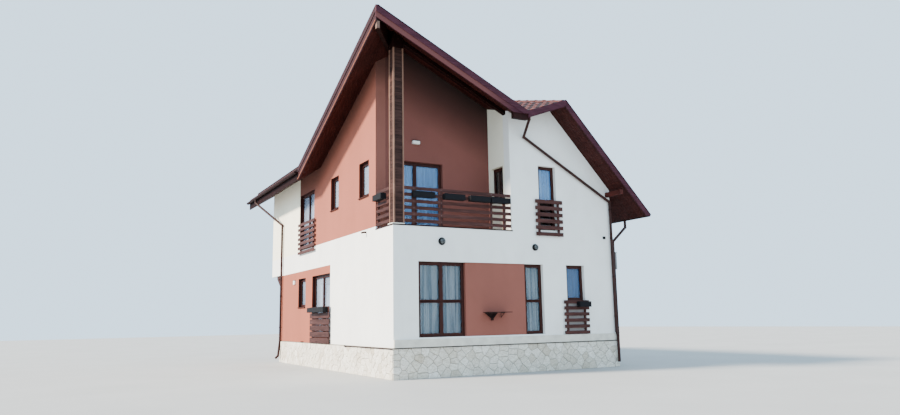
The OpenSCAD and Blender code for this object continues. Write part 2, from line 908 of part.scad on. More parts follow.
plinth();
front_ledge();
ground_floor();
ground_front_wall();
front_panel();
ground_left_wall();
left_panel();
ground_right_wall();
ground_back_wall();
upper_floor();
overhang_beams();
overhang_braces();
upper_front_wall();
upper_return_wall();
upper_recess_wall();
upper_left_wall();
upper_left_rear_wall();
upper_right_wall();
upper_back_wall();
roof_corner_left();
roof_corner_right();
roof_small();
roof_left();
roof_right();
soffit();
left_verge_boards();
front_verge_boards();
back_verge_boards();
eave_boards();
ridge_caps();
snow_guard();
corner_post();
roof_beams();
gutters();
downpipes();
balcony_front_railing();
balcony_side_railing();
window_guards();
left_screen();
flower_troughs();
ground_windows();
upper_windows();
ground_glass();
upper_glass();
window_sills();
entrance_door();
wall_lights();
wall_shelf();
meter_box();
curtains();
curtain_rails();
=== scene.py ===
"""Looks of the detached house: a material for every node, and the fine pieces over them.

Metres, in the frame's own axes. The front face looks along -Y, the left face along -X.
"""

import math
import random

import bmesh
import bpy
from mathutils import Matrix, Vector


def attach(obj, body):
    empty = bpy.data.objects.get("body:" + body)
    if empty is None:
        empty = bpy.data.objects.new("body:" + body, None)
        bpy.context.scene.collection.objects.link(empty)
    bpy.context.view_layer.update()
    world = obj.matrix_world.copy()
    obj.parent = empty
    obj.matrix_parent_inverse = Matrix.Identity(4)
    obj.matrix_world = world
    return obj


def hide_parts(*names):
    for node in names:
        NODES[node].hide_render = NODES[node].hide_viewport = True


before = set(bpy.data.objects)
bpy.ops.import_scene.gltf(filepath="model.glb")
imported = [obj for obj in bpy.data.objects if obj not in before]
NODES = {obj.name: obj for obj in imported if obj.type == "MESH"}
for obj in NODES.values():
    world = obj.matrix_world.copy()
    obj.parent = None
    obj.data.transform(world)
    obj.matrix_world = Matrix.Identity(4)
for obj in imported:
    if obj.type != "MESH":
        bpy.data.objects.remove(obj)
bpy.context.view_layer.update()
UP = Vector((0, 0, 1))

# Places shared with the frame

GROUND_L, BODY_W = 10.55, 7.48
LOGGIA_W, LOGGIA_D = 3.74, 1.16
UPPER_Z = 4.0
POST_W, POST_D = 0.335, 0.29
POST_LOW = Vector((0.025, 0.0, UPPER_Z))
POST_HIGH = Vector((POST_W, POST_D, 8.88))
FRAME_T = 0.07

# Corner points of the roof's surface
P_CORNER = Vector((-0.74, -0.7, 9.6))
P_VALLEY = Vector((3.94, -0.7, 7.35))
P_PEAK = Vector((5.33, -0.7, 7.8764))
P_RIGHT = Vector((8.49, -0.7, 4.59))
P_KINK = Vector((-0.74, 6.04, 6.64))
P_MEET = Vector((3.74, 5.75, 9.53))
P_LEFT_BACK = Vector((-0.74, 13.05, 6.64))
P_RIDGE_BACK = Vector((3.74, 13.05, 9.53))
P_RIGHT_BACK = Vector((8.49, 13.05, 4.59))

# Slopes: outline, depth below the surface, direction of the soffit boards
SLOPES = {
    "corner_left": ([P_CORNER, P_KINK, P_MEET], 0.4, P_KINK - P_CORNER),
    "corner_right": ([P_CORNER, P_MEET, P_VALLEY], 0.12, P_VALLEY - P_CORNER),
    "small": ([P_VALLEY, P_MEET, P_PEAK], 0.12, P_PEAK - P_VALLEY),
    "left": ([P_KINK, P_LEFT_BACK, P_RIDGE_BACK, P_MEET], 0.4, P_LEFT_BACK - P_KINK),
    "right": ([P_RIGHT, P_PEAK, P_MEET, P_RIDGE_BACK, P_RIGHT_BACK], 0.19, P_RIGHT - P_PEAK),
}


# Camera, fitted to the photograph: place, degrees turned, focal length and width in pixels

EYE = Vector((-7.388, -16.417, 1.481))
YAW_PITCH_ROLL = (29.014, 9.237, -1.0114)
FOCAL, PHOTO_W = 691.78, 900
SENSOR_W = 36
CLIP_END = 300


def linked(name, data):
    """An object of that name and data in the scene."""
    made = bpy.data.objects.new(name, data)
    bpy.context.collection.objects.link(made)
    return made


def place_camera():
    yaw, pitch, roll = (math.radians(angle) for angle in YAW_PITCH_ROLL)
    level = math.cos(pitch)
    forward = Vector((math.sin(yaw) * level, math.cos(yaw) * level, math.sin(pitch)))
    right = Vector((math.cos(yaw), -math.sin(yaw), 0))
    up = right.cross(forward)
    turned_right = math.cos(roll) * right + math.sin(roll) * up
    turned_up = -math.sin(roll) * right + math.cos(roll) * up
    camera = linked("camera", bpy.data.cameras.new("camera"))
    matrix = Matrix((turned_right, turned_up, -forward)).transposed().to_4x4()
    matrix.translation = EYE
    camera.matrix_world = matrix
    camera.data.sensor_fit = "HORIZONTAL"
    camera.data.sensor_width = SENSOR_W
    camera.data.lens = FOCAL * SENSOR_W / PHOTO_W
    camera.data.clip_end = CLIP_END
    bpy.context.scene.camera = camera


place_camera()


# Materials

def rgb(r, g, b):
    """Linear colour from the 0 to 255 values of a screen."""
    def linear(value):
        value /= 255
        return value / 12.92 if value <= 0.04045 else ((value + 0.055) / 1.055) ** 2.4
    return (linear(r), linear(g), linear(b), 1.0)


class Shader:
    """A Principled material whose nodes are added one call at a time."""

    def __init__(self, name, rough=0.7, **sockets):
        self.material = bpy.data.materials.new(name)
        self.material.use_nodes = True
        self.tree = self.material.node_tree
        self.bsdf = self.tree.nodes["Principled BSDF"]
        self.bsdf.inputs["Roughness"].default_value = rough
        for key, value in sockets.items():
            self.bsdf.inputs[key.replace("_", " ")].default_value = value
        self.coords = self.node("TexCoord").outputs["Object"]
        self.height = None

    def node(self, kind, **values):
        made = self.tree.nodes.new("ShaderNode" + kind)
        for key, value in values.items():
            if key in made.inputs:
                made.inputs[key].default_value = value
            else:
                setattr(made, key, value)
        return made

    def link(self, source, target):
        self.tree.links.new(source, target)

    def noise(self, scale, stretch=(1, 1, 1), detail=4, distortion=0.0):
        made = self.node("TexNoise", Scale=scale, Detail=detail, Distortion=distortion)
        mapping = self.node("Mapping", Scale=stretch)
        self.link(self.coords, mapping.inputs["Vector"])
        self.link(mapping.outputs["Vector"], made.inputs["Vector"])
        return made.outputs["Fac"]

    def axis(self, name):
        made = self.node("SeparateXYZ")
        self.link(self.coords, made.inputs[0])
        return made.outputs[name]

    def where(self, *tests):
        """1 where all tests hold, else 0; a test is (axis, "<" or ">", place)."""
        found = None
        for name, sign, place in tests:
            operation = "LESS_THAN" if sign == "<" else "GREATER_THAN"
            test = self.math(operation, self.axis(name), place)
            found = test if found is None else self.math("MULTIPLY", found, test)
        return found

    def island(self):
        """A random value for each separate solid."""
        return self.node("NewGeometry").outputs["Random Per Island"]

    def ramp(self, factor, *stops):
        made = self.node("ValToRGB")
        elements = made.color_ramp.elements
        while len(elements) < len(stops):
            elements.new(0.5)
        for element, (place, colour) in zip(elements, stops):
            element.position = place
            element.color = colour if isinstance(colour, tuple) else (colour, colour, colour, 1)
        self.link(factor, made.inputs["Fac"])
        return made.outputs["Color"]

    def feed(self, node, *inputs):
        """Links the sockets and sets the values of (index, socket or value)."""
        for index, value in inputs:
            if isinstance(value, bpy.types.NodeSocket):
                self.link(value, node.inputs[index])
            else:
                node.inputs[index].default_value = value

    def mix(self, factor, a, b, blend="MIX"):
        made = self.node("Mix", data_type="RGBA", blend_type=blend)
        self.feed(made, (0, factor), (6, a), (7, b))
        return made.outputs[2]

    def math(self, operation, a, b=0.0, clamp=False):
        made = self.node("Math", operation=operation, use_clamp=clamp)
        self.feed(made, (0, a), (1, b))
        return made.outputs[0]

    def colour(self, socket):
        self.link(socket, self.bsdf.inputs["Base Color"])

    def rough(self, factor, low, high):
        self.link(self.ramp(factor, (0.25, low), (0.75, high)), self.bsdf.inputs["Roughness"])

    def bump(self, height, strength, distance):
        """Adds a bump over those that are there."""
        made = self.node("Bump", Strength=strength, Distance=distance)
        self.link(height, made.inputs["Height"])
        if self.height is not None:
            self.link(self.height, made.inputs["Normal"])
        self.height = made.outputs["Normal"]
        self.link(self.height, self.bsdf.inputs["Normal"])


def scaled(colour, factor):
    return tuple(min(1.0, c * factor) for c in colour[:3]) + (1.0,)


def fall(high, low, axis):
    """How far an edge of the roof drops per metre along x (0) or y (1)."""
    return round((high.z - low.z) / (low[axis] - high[axis]), 4)


# Parts of the house that a material tells apart, as tests of places along the axes
LEFT_PANES = [("X", "<", 0.3)]
RETURN_PANES = [("X", "<", 4.2), ("Y", "<", 1.1), ("Z", ">", UPPER_Z)]
GROUND_GUARDED = [("X", ">", 5.5), ("Z", "<", 3.1)]
UPPER_GUARDED = [("X", ">", 4.2), ("Z", "<", 4.98)]
LOGGIA_NET = [("X", ">", 0.36), ("X", "<", 3.0), ("Y", "<", 2.0), ("Z", ">", UPPER_Z)]


def render_coat(name, colour, low=0.95, high=1.03, split=None, shade=None, painted_shade_y=None):
    """Fine grained wall render, cloudy from weather.

    split: height where it starts, colour below. shade, the painted shade below the soffit above:
    its fall per metre, its height at the corner, how far down it reaches, the axis of the wall, the
    darkest tint. painted_shade_y: y up to which the wall takes a cool tint, a painted shade.
    """
    s = Shader(name, rough=0.92)
    clouds = s.noise(0.9, (1, 1, 0.6), detail=5)
    base = s.ramp(clouds, (0.3, scaled(colour, low)), (0.7, scaled(colour, high)))
    if split:
        height, below = split
        lower = s.ramp(clouds, (0.3, scaled(below, low)), (0.7, scaled(below, high)))
        base = s.mix(s.where(("Z", ">", height)), lower, base)
    patches = s.noise(2.4, (1, 1, 0.7), detail=4)
    base = s.mix(s.ramp(patches, (0.5, 0.0), (0.8, 0.6)), base, (0.9, 0.89, 0.87, 1), "MULTIPLY")
    # Painted shade: a cool tint on the wall within the loggia.
    if painted_shade_y:
        cool = s.mix(1.0, base, (0.8, 1.0, 1.2, 1), "MULTIPLY")
        base = s.mix(s.where(("Y", "<", painted_shade_y)), base, cool)
    # Painted shade below the soffit, darkest right under it.
    if shade:
        drop, start, reach, axis, darkest = shade
        along = s.math("MULTIPLY", s.axis(axis), drop)
        depth = s.math("SUBTRACT", start, s.math("ADD", s.axis("Z"), along))
        depth = s.math("DIVIDE", depth, reach, clamp=True)
        painted_shade_dim = s.ramp(depth, (0.0, darkest), (0.4, 0.33 + darkest / 2), (1.0, 1.0))
        base = s.mix(1.0, base, painted_shade_dim, "MULTIPLY")
    grain = s.noise(260, detail=3)
    base = s.mix(s.ramp(grain, (0.35, 0.16), (0.6, 0.0)), base, (0.55, 0.55, 0.55, 1), "MULTIPLY")
    s.colour(base)
    s.bump(grain, 0.45, 0.0016)
    s.bump(s.noise(45, detail=3), 0.25, 0.0016)
    return s.material


FACE_SKIN = 0.014


def timber(name, dark, light, axis, rough=0.55, vary=0.35, coat=0.0, beyond=None,
           lower=None, gloss=0.1):
    """Stained boards, the grain along one axis of the frame, each board a little different.

    beyond: x from which they are dimmed, and the factor. lower: y of the lower layer's face, x by
    which its lighter tint, a painted highlight, has faded out, that tint.
    """
    s = Shader(name, rough=rough, Coat_Weight=coat, Coat_Roughness=0.35, Specular_IOR_Level=gloss)
    stretch = tuple(0.06 if i == axis else 1.0 for i in range(3))
    rings = s.noise(34, stretch, detail=6, distortion=0.6)
    fine = s.noise(150, tuple(v * 0.5 if v < 1 else 1 for v in stretch), detail=3)
    middle = tuple((a + b) / 2 for a, b in zip(dark, light))
    base = s.ramp(rings, (0.3, dark), (0.55, middle), (0.78, light))
    base = s.mix(s.ramp(fine, (0.3, 0.45), (0.6, 0.0)), base, scaled(dark, 0.5), "MULTIPLY")
    board = s.ramp(s.island(), (0.0, 1 - vary), (1.0, 1.0))
    base = s.mix(1.0, base, board, "MULTIPLY")
    weather = s.noise(1.7, detail=4)
    base = s.mix(s.ramp(weather, (0.5, 0.0), (0.75, 0.3)), base, scaled(light, 1.2))
    if beyond:
        place, factor = beyond
        dimmed = s.mix(1.0, base, (factor, factor, factor, 1), "MULTIPLY")
        base = s.mix(s.where(("X", ">", place)), dimmed, base)
    # Painted highlight on the lower board's face, fading out along x.
    if lower:
        face_y, end, painted_highlight = lower
        face = s.where(("Y", ">", face_y), ("Y", "<", face_y + FACE_SKIN))
        fade = s.math("SUBTRACT", end, s.axis("X"), clamp=True)
        base = s.mix(s.math("MULTIPLY", face, fade), base, painted_highlight)
    s.colour(base)
    s.rough(rings, rough + 0.12, rough - 0.08)
    s.bump(rings, 0.35, 0.0012)
    s.bump(fine, 0.2, 0.0005)
    return s.material


def coated(name, colour, rough=0.4, metallic=0.0, wear=0.25, speck=500, gloss=0.5):
    """Painted sheet metal or moulded plastic: even colour, faint dust, orange-peel bump."""
    s = Shader(name, rough=rough, Metallic=metallic, Specular_IOR_Level=gloss)
    dust = s.noise(6, detail=5)
    base = s.ramp(dust, (0.35, scaled(colour, 1 - wear)), (0.7, scaled(colour, 1 + wear)))
    s.colour(base)
    s.rough(dust, rough - 0.08, rough + 0.15)
    s.bump(s.noise(speck, detail=2), 0.12, 0.0004)
    return s.material


def tile_coat(name, painted_shade_dim=1.0):
    """Brown concrete tiles with grime; the factor darkens a copy of them as painted shade for the
    hollows.
    """
    s = Shader(name, rough=0.5, Specular_IOR_Level=0.12)
    dark, middle, light, dirt = (scaled(rgb(*colour), painted_shade_dim) for colour in (
        (78, 41, 36), (90, 49, 43), (104, 60, 53), (60, 35, 32)))
    base = s.ramp(s.noise(1.3, detail=5), (0.3, dark), (0.55, middle), (0.8, light))
    each = s.ramp(s.island(), (0.0, 0.86), (1.0, 1.0))
    base = s.mix(1.0, base, each, "MULTIPLY")
    grime = s.noise(9, (1, 1, 0.3), detail=5)
    base = s.mix(s.ramp(grime, (0.5, 0.0), (0.8, 0.4)), base, dirt)
    s.colour(base)
    s.rough(grime, 0.42, 0.7)
    s.bump(s.noise(320, detail=3), 0.2, 0.0008)
    return s.material


def stone_face(name):
    """Rough cream stone, each one in a tone of its own, veined and speckled."""
    s = Shader(name, rough=0.88)
    tone = s.ramp(s.island(), (0.0, rgb(206, 198, 182)), (0.3, rgb(236, 232, 220)),
                  (0.6, rgb(222, 216, 204)), (0.85, rgb(244, 241, 232)), (1.0, rgb(202, 192, 174)))
    veins = s.noise(14, (1, 1, 2.2), detail=7, distortion=0.8)
    base = s.mix(s.ramp(veins, (0.35, 0.5), (0.6, 0.0)), tone, rgb(176, 166, 148), "MULTIPLY")
    specks = s.noise(120, detail=4)
    base = s.mix(s.ramp(specks, (0.3, 0.35), (0.5, 0.0)), base, rgb(150, 132, 108), "MULTIPLY")
    s.colour(base)
    s.bump(veins, 0.6, 0.008)
    s.bump(specks, 0.4, 0.0018)
    return s.material


def mortar(name, colour):
    """Concrete, screed or mortar with a coarse grain."""
    s = Shader(name, rough=0.95)
    clouds = s.noise(5, detail=6)
    s.colour(s.ramp(clouds, (0.3, scaled(colour, 0.85)), (0.7, scaled(colour, 1.08))))
    s.bump(s.noise(180, detail=4), 0.5, 0.0025)
    return s.material


def glass(name, low, high, alpha, guarded, tint):
    """Panes, their colour a painted reflection of the sky: grey in the left face as a painted
    reflection, dark in the return window as painted shade; tint paints the guarded ones with
    the shade and reflection behind their guards.
    """
    s = Shader(name, rough=0.04, Alpha=alpha, IOR=1.5, Specular_IOR_Level=0.8)
    # The colour is a painted reflection of the sky.
    sky = s.noise(0.7, detail=2)
    base = s.ramp(sky, (0.3, low), (0.7, high))
    # Painted reflection: grey in the left face; painted shade: dark in the return window.
    grey = s.ramp(sky, (0.3, rgb(148, 164, 190)), (0.7, rgb(184, 198, 220)))
    base = s.mix(s.where(*LEFT_PANES), base, grey)
    base = s.mix(s.where(*RETURN_PANES), base, rgb(62, 56, 56))
    # Painted shade and reflection behind the guards.
    s.colour(s.mix(s.where(*guarded), base, tint))
    s.bump(s.noise(2.2, detail=1), 0.04, 0.01)
    return s.material


THREADS = 900


def net_cloth(name):
    """Woven net with folds, dark streaks of painted shade down them, and painted shade behind the
    ground guard and in the loggia.
    """
    s = Shader(name, rough=0.85, Sheen_Weight=0.3)
    weft, warp = (s.node("TexWave", Scale=THREADS, bands_direction=way) for way in "ZX")
    for wave in (weft, warp):
        s.link(s.coords, wave.inputs["Vector"])
    weave = s.math("MULTIPLY", weft.outputs["Fac"], warp.outputs["Fac"])
    base = s.ramp(weave, (0.0, rgb(226, 234, 240)), (1.0, rgb(250, 251, 252)))
    soft = s.noise(3, (1, 1, 0.3), detail=3)
    base = s.mix(s.ramp(soft, (0.4, 0.25), (0.7, 0.0)), base, rgb(205, 218, 230), "MULTIPLY")
    # Painted shade: dark streaks down the folds.
    fold_shade = s.noise(10, (1, 1, 0.03), detail=3)
    base = s.mix(s.ramp(fold_shade, (0.43, 0.95), (0.56, 0.0)), base, rgb(60, 80, 92), "MULTIPLY")
    # Painted shade behind the ground guard and in the loggia.
    for region, tint in ((GROUND_GUARDED, (0.2, 0.3, 0.48, 1)), (LOGGIA_NET, (0.4, 0.68, 1.0, 1))):
        base = s.mix(s.where(*region), base, tint, "MULTIPLY")
    s.colour(base)
    s.bump(weave, 0.15, 0.0003)
    return s.material


def soil(name):
    s = Shader(name, rough=0.97)
    crumbs = s.noise(70, detail=6)
    s.colour(s.ramp(crumbs, (0.3, rgb(42, 30, 22)), (0.6, rgb(78, 58, 42)),
                    (0.8, rgb(104, 82, 62))))
    s.bump(crumbs, 0.9, 0.008)
    return s.material


WHITE = rgb(243, 243, 239)
SPLIT_Z = 4.07
# Painted shade: y up to which the upper left wall takes a cool tint; shade below the soffits over
# the recess and the left wall: fall per metre, height at the corner, reach, axis, darkest tint
LOGGIA_SHADE_Y = 1.163
RECESS_SHADE = (fall(P_CORNER, P_VALLEY, 0), 9.72, 1.9, "X", 0.1)
LEFT_SHADE = (fall(P_CORNER, P_KINK, 1), 9.33, 0.75, "Y", 0.4)

M = {
    "white": render_coat("white_render", WHITE),
    "white_warm": render_coat("white_render_warm", rgb(250, 245, 224)),
    "white_shaded": render_coat("white_render_shaded", rgb(150, 144, 142)),
    "brown": render_coat("brown_render", rgb(137, 80, 67), 0.93, 1.05),
    # Lit copy of the brown for the left panel: painted sunlight, a more orange tone.
    "brown_sunny": render_coat("brown_render_sunny", rgb(152, 82, 60), 0.93, 1.05),
    # Darker copy of the brown, with painted shade below the soffit: painted shade in the recess.
    "recess": render_coat("recess_render_shaded", rgb(120, 70, 61), 0.93, 1.05, shade=RECESS_SHADE),
    # Lighter, more orange copy of the brown over white: painted sunlight on the upper left wall,
    # with painted shade below the soffit and by the loggia.
    "brown_over_white": render_coat(
        "brown_over_white_render", rgb(154, 86, 67), 0.93, 1.05, split=(SPLIT_Z, WHITE),
        shade=LEFT_SHADE, painted_shade_y=LOGGIA_SHADE_Y),
    "concrete": mortar("pale_concrete", rgb(214, 210, 198)),
    "screed": mortar("floor_screed", rgb(178, 172, 160)),
    "paver": mortar("loggia_tile", rgb(186, 176, 160)),
    "mortar": mortar("stone_mortar", rgb(130, 123, 112)),
    "stone": stone_face("cream_stone"),
    "tile": tile_coat("roof_tile"),
    # Darker copy of the tiles: painted shade in the hollows of their wave.
    "tile_hollow_shade": tile_coat("roof_tile_hollow_shade", 0.25),
    "deck": timber("roof_deck", rgb(42, 22, 20), rgb(60, 33, 29), 1, 0.8, 0.1),
    "flashing": coated("verge_flashing", rgb(34, 28, 42), 0.5, gloss=0.08),
    "board_x": timber("timber_along_x", rgb(68, 41, 38), rgb(97, 62, 57), 0),
    "board_y": timber("timber_along_y", rgb(58, 34, 31), rgb(84, 52, 47), 1),
    "board_z": timber("timber_along_z", rgb(58, 32, 28), rgb(84, 50, 43), 2),
    "beam": timber("beam_timber", rgb(66, 27, 23), rgb(92, 42, 35), 0, beyond=(5.0, 0.16)),
    "beam_dark": timber("shelf_timber", rgb(34, 20, 20), rgb(54, 34, 32), 0),
    "verge": timber("verge_timber", rgb(44, 22, 26), rgb(66, 35, 38), 1, 0.6, 0.2),
    # Front verge boards with a painted highlight on the lower board's face.
    "verge_x": timber("verge_timber_front", rgb(62, 31, 42), rgb(90, 47, 60), 0, 0.6, 0.2,
                      lower=(-0.739, 3.5, rgb(104, 62, 60))),
    "eave": timber("eave_timber", rgb(26, 12, 13), rgb(40, 19, 20), 1, 0.7, 0.2, gloss=0.05),
    "lip": timber("verge_lip", rgb(142, 82, 58), rgb(172, 108, 80), 1, 0.6, 0.1),
    "soffit": timber("soffit_timber", rgb(52, 22, 20), rgb(74, 34, 29), 1, 0.6, 0.3),
    "post": timber("post_cladding", rgb(52, 34, 31), rgb(84, 58, 51), 0, 0.65, 0.5),
    "post_edge": timber("post_edge_strip", rgb(128, 94, 78), rgb(156, 121, 103), 2, 0.6, 0.15),
    "sawn": timber("sawn_end", rgb(112, 88, 78), rgb(138, 112, 100), 1, 0.8, 0.1),
    "window": timber("window_timber", rgb(52, 24, 20), rgb(72, 35, 29), 2, 0.5, 0.1, coat=0.08),
    "sill": timber("sill_timber", rgb(54, 26, 21), rgb(78, 42, 34), 0, 0.55, 0.1),
    "pipe": coated("downpipe_brown", rgb(54, 31, 28), 0.5, gloss=0.15),
    "gutter": coated("gutter_brown", rgb(40, 20, 19), 0.55, gloss=0.06),
    "steel": coated("zinc_screw", rgb(150, 150, 148), 0.35, 0.9, 0.15),
    "trough": coated("trough_grey", rgb(22, 22, 25), 0.65, 0.0, 0.15, 350, gloss=0.1),
    "black": coated("lamp_black", rgb(18, 18, 19), 0.6, 0.0, 0.2, gloss=0.1),
    "lamp": coated("lamp_face", rgb(232, 230, 222), 0.3, 0.0, 0.05),
    "cage_glass": coated("lamp_glass", rgb(84, 88, 90), 0.3, 0.0, 0.2),
    "box": coated("box_grey", rgb(112, 114, 114), 0.55, 0.0, 0.1),
    "rail": coated("rail_white", rgb(226, 223, 214), 0.5, 0.0, 0.06),
    # Glass colours are a painted reflection of the sky, with painted shade and reflection behind
    # the guards.
    "glass": glass("window_glass", rgb(82, 100, 114), rgb(122, 142, 154), 0.34,
                   GROUND_GUARDED, rgb(78, 112, 156)),
    "glass_upper": glass("window_glass_upper", rgb(84, 136, 196), rgb(130, 176, 222), 0.45,
                         UPPER_GUARDED, rgb(46, 36, 36)),
    "curtain": net_cloth("curtain_net"),
    "soil": soil("potting_soil"),
}

# Nodes of the frame, by material
DRESSED = {
    "mortar": ["plinth"],
    "concrete": ["front_ledge"],
    "screed": ["ground_floor"],
    "white": ["ground_front_wall", "ground_left_wall", "ground_right_wall", "ground_back_wall",
              "upper_floor", "overhang_beams", "upper_front_wall", "upper_right_wall",
              "upper_back_wall"],
    "white_warm": ["upper_return_wall", "upper_left_rear_wall"],
    "brown": ["front_panel"],
    "brown_sunny": ["left_panel"],
    "recess": ["upper_recess_wall"],
    "brown_over_white": ["upper_left_wall"],
    "deck": ["roof_corner_left", "roof_corner_right", "roof_small", "roof_left", "roof_right"],
    "tile": ["ridge_caps"],
    "soffit": ["soffit"],
    "verge": ["left_verge_boards"],
    "verge_x": ["front_verge_boards", "back_verge_boards"],
    "eave": ["eave_boards"],
    "beam": ["roof_beams"],
    "post": ["corner_post"],
    "board_x": ["balcony_front_railing", "window_guards", "wall_shelf"],
    "board_y": ["balcony_side_railing", "left_screen"],
    "board_z": ["overhang_braces"],
    "gutter": ["snow_guard", "gutters"],
    "pipe": ["downpipes"],
    "trough": ["flower_troughs"],
    "window": ["ground_windows", "upper_windows", "entrance_door"],
    "sill": ["window_sills"],
    "glass": ["ground_glass"],
    "glass_upper": ["upper_glass"],
    "black": ["wall_lights"],
    "box": ["meter_box"],
    "curtain": ["curtains"],
    "rail": ["curtain_rails"],
}


for key, nodes in DRESSED.items():
    for node in nodes:
        if not NODES[node].material_slots:
            NODES[node].data.materials.append(None)
        for material_slot in NODES[node].material_slots:
            material_slot.link = "OBJECT"
            material_slot.material = M[key]



# Building solids

def circle(centre, a, b, radius, sides):
    """Points round centre, from direction a towards direction b."""
    return [centre + radius * (math.cos(t) * a + math.sin(t) * b)
            for t in (2 * math.pi * k / sides for k in range(sides))]


class Geo:
    """Closed solids gathered into one mesh."""

    def __init__(self):
        self.points, self.faces, self.marks = [], [], []
        self.mark = 0

    def add(self, points, faces):
        start = len(self.points)
        self.points += [tuple(p) for p in points]
        self.faces += [tuple(i + start for i in face) for face in faces]
        self.marks += [self.mark] * len(faces)

    def prism(self, outline, shift, top=None):
        """A flat outline carried along shift; top may be a second outline for the far end."""
        n = len(outline)
        far = [Vector(p) + Vector(shift) for p in (top or outline)]
        sides = [(i, (i + 1) % n, n + (i + 1) % n, n + i) for i in range(n)]
        self.add(list(outline) + far, [tuple(range(n - 1, -1, -1)), tuple(range(n, 2 * n))] + sides)

    def box(self, low, high):
        x0, y0, z0 = low
        x1, y1, z1 = high
        self.prism([(x0, y0, z0), (x1, y0, z0), (x1, y1, z0), (x0, y1, z0)], (0, 0, z1 - z0))

    def boxes(self, *pairs):
        for low, high in pairs:
            self.box(low, high)

    def tube(self, path, radius, sides=12, up=UP):
        """A round bar along a path of points."""
        rings = []
        for i, point in enumerate(path):
            a, b = path[max(0, i - 1)], path[min(len(path) - 1, i + 1)]
            along = (Vector(b) - Vector(a)).normalized()
            side = along.cross(up)
            if side.length < 0.05:
                side = along.cross(Vector((1, 0, 0)))
            side.normalize()
            rings.append(circle(Vector(point), side, side.cross(along), radius, sides))
        self.loft(rings)

    def loft(self, rings):
        """Closed rings of the same number of points, joined and capped."""
        n = len(rings[0])
        points = [p for ring in rings for p in ring]
        faces = [tuple(range(n - 1, -1, -1)), tuple(range((len(rings) - 1) * n, len(rings) * n))]
        for r in range(len(rings) - 1):
            for i in range(n):
                j = (i + 1) % n
                faces.append((r * n + i, r * n + j, (r + 1) * n + j, (r + 1) * n + i))
        self.add(points, faces)

    def grid_solid(self, top, bottom):
        """A closed slab between two grids of points, top[row][column] and bottom."""
        end, side = len(top) - 1, len(top[0]) - 1
        faces = []

        def face(*corners):
            faces.append([(low * (end + 1) + r) * (side + 1) + c for r, c, low in corners])

        for r in range(end):
            for c in range(side):
                face((r, c, 0), (r, c + 1, 0), (r + 1, c + 1, 0), (r + 1, c, 0))
                face((r, c, 1), (r + 1, c, 1), (r + 1, c + 1, 1), (r, c + 1, 1))
        for c in range(side):
            face((0, c, 0), (0, c, 1), (0, c + 1, 1), (0, c + 1, 0))
            face((end, c, 0), (end, c + 1, 0), (end, c + 1, 1), (end, c, 1))
        for r in range(end):
            face((r, 0, 0), (r + 1, 0, 0), (r + 1, 0, 1), (r, 0, 1))
            face((r, side, 0), (r, side, 1), (r + 1, side, 1), (r + 1, side, 0))
        self.add([p for grid in (top, bottom) for row in grid for p in row], faces)

    def mesh(self, name):
        mesh = bpy.data.meshes.new(name)
        mesh.from_pydata(self.points, [], self.faces)
        for polygon, mark in zip(mesh.polygons, self.marks):
            polygon.material_index = mark
        work = bmesh.new()
        work.from_mesh(mesh)
        bmesh.ops.recalc_face_normals(work, faces=work.faces)
        work.to_mesh(mesh)
        work.free()
        return mesh


def piece(name, geo, *keys, bevel=0.0, smooth=False, replaces=()):
    """Links a mesh as a piece of the house and gives it materials and soft edges."""
    mesh = geo.mesh(name) if isinstance(geo, Geo) else geo
    edge = math.radians(40)
    made = linked(name, mesh)
    for key in keys:
        mesh.materials.append(M[key])
    if smooth:
        for polygon in mesh.polygons:
            polygon.use_smooth = True
        mesh.set_sharp_from_angle(angle=edge)
    if bevel:
        rounding = made.modifiers.new("edges", "BEVEL")
        rounding.width = bevel
        rounding.segments = 2
        rounding.limit_method = "ANGLE"
        rounding.angle_limit = edge
    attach(made, "root")
    if replaces:
        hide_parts(*replaces)
    return made


def box_piece(name, key, *pairs, bevel=0.0):
    """A piece of boxes, each a pair of a low and a high corner."""
    geo = Geo()
    geo.boxes(*pairs)
    piece(name, geo, key, bevel=bevel)


def cut_mesh(geo, planes):
    """Cuts closed solids by planes (point, outward normal), keeps and closes the inside."""
    work = bmesh.new()
    mesh = geo.mesh("cut")
    work.from_mesh(mesh)
    for point, normal in planes:
        everything = work.verts[:] + work.edges[:] + work.faces[:]
        cut = bmesh.ops.bisect_plane(work, geom=everything, plane_co=point, plane_no=normal,
                                     clear_outer=True, dist=1e-6)["geom_cut"]
        rim = [e for e in cut if isinstance(e, bmesh.types.BMEdge)]
        if rim:
            bmesh.ops.holes_fill(work, edges=rim, sides=0)
    bmesh.ops.recalc_face_normals(work, faces=work.faces)
    work.to_mesh(mesh)
    work.free()
    return mesh


def rim_planes(outline, shift=None):
    """Upright planes through the sides of a slope's outline, moved outward by shift per side."""
    centre = sum(outline, Vector()) / len(outline)
    planes = []
    for i, a in enumerate(outline):
        b = outline[(i + 1) % len(outline)]
        normal = Vector(((b - a).y, -(b - a).x, 0)).normalized()
        if normal.dot(a - centre) < 0:
            normal = -normal
        planes.append((a + normal * (shift or {}).get(i, 0), normal))
    return planes


class Slope:
    """Places on one roof slope: u runs level, v runs up the slope, w stands on it."""

    def __init__(self, outline):
        self.outline = outline
        self.w = (outline[1] - outline[0]).cross(outline[2] - outline[0]).normalized()
        if self.w.z < 0:
            self.w = -self.w
        self.u = UP.cross(self.w).normalized()
        self.v = self.w.cross(self.u)
        self.origin = outline[0]

    def at(self, u, v, w):
        return self.origin + self.u * u + self.v * v + self.w * w

    def span(self, axis):
        values = [(p - self.origin).dot(axis) for p in self.outline]
        return min(values), max(values)


# Roof tiles: width and length of one, height of its wave and of its lower edge

TILE_W, TILE_L, WAVE, LIP = 0.23, 0.35, 0.0225, 0.0112
WAVE_PLACES = (0, 0.12, 0.25, 0.38, 0.5, 0.62, 0.75, 0.88)
WAVE_POWER = 1.4
BED, UNDERSIDE = 0.003, 0.0008
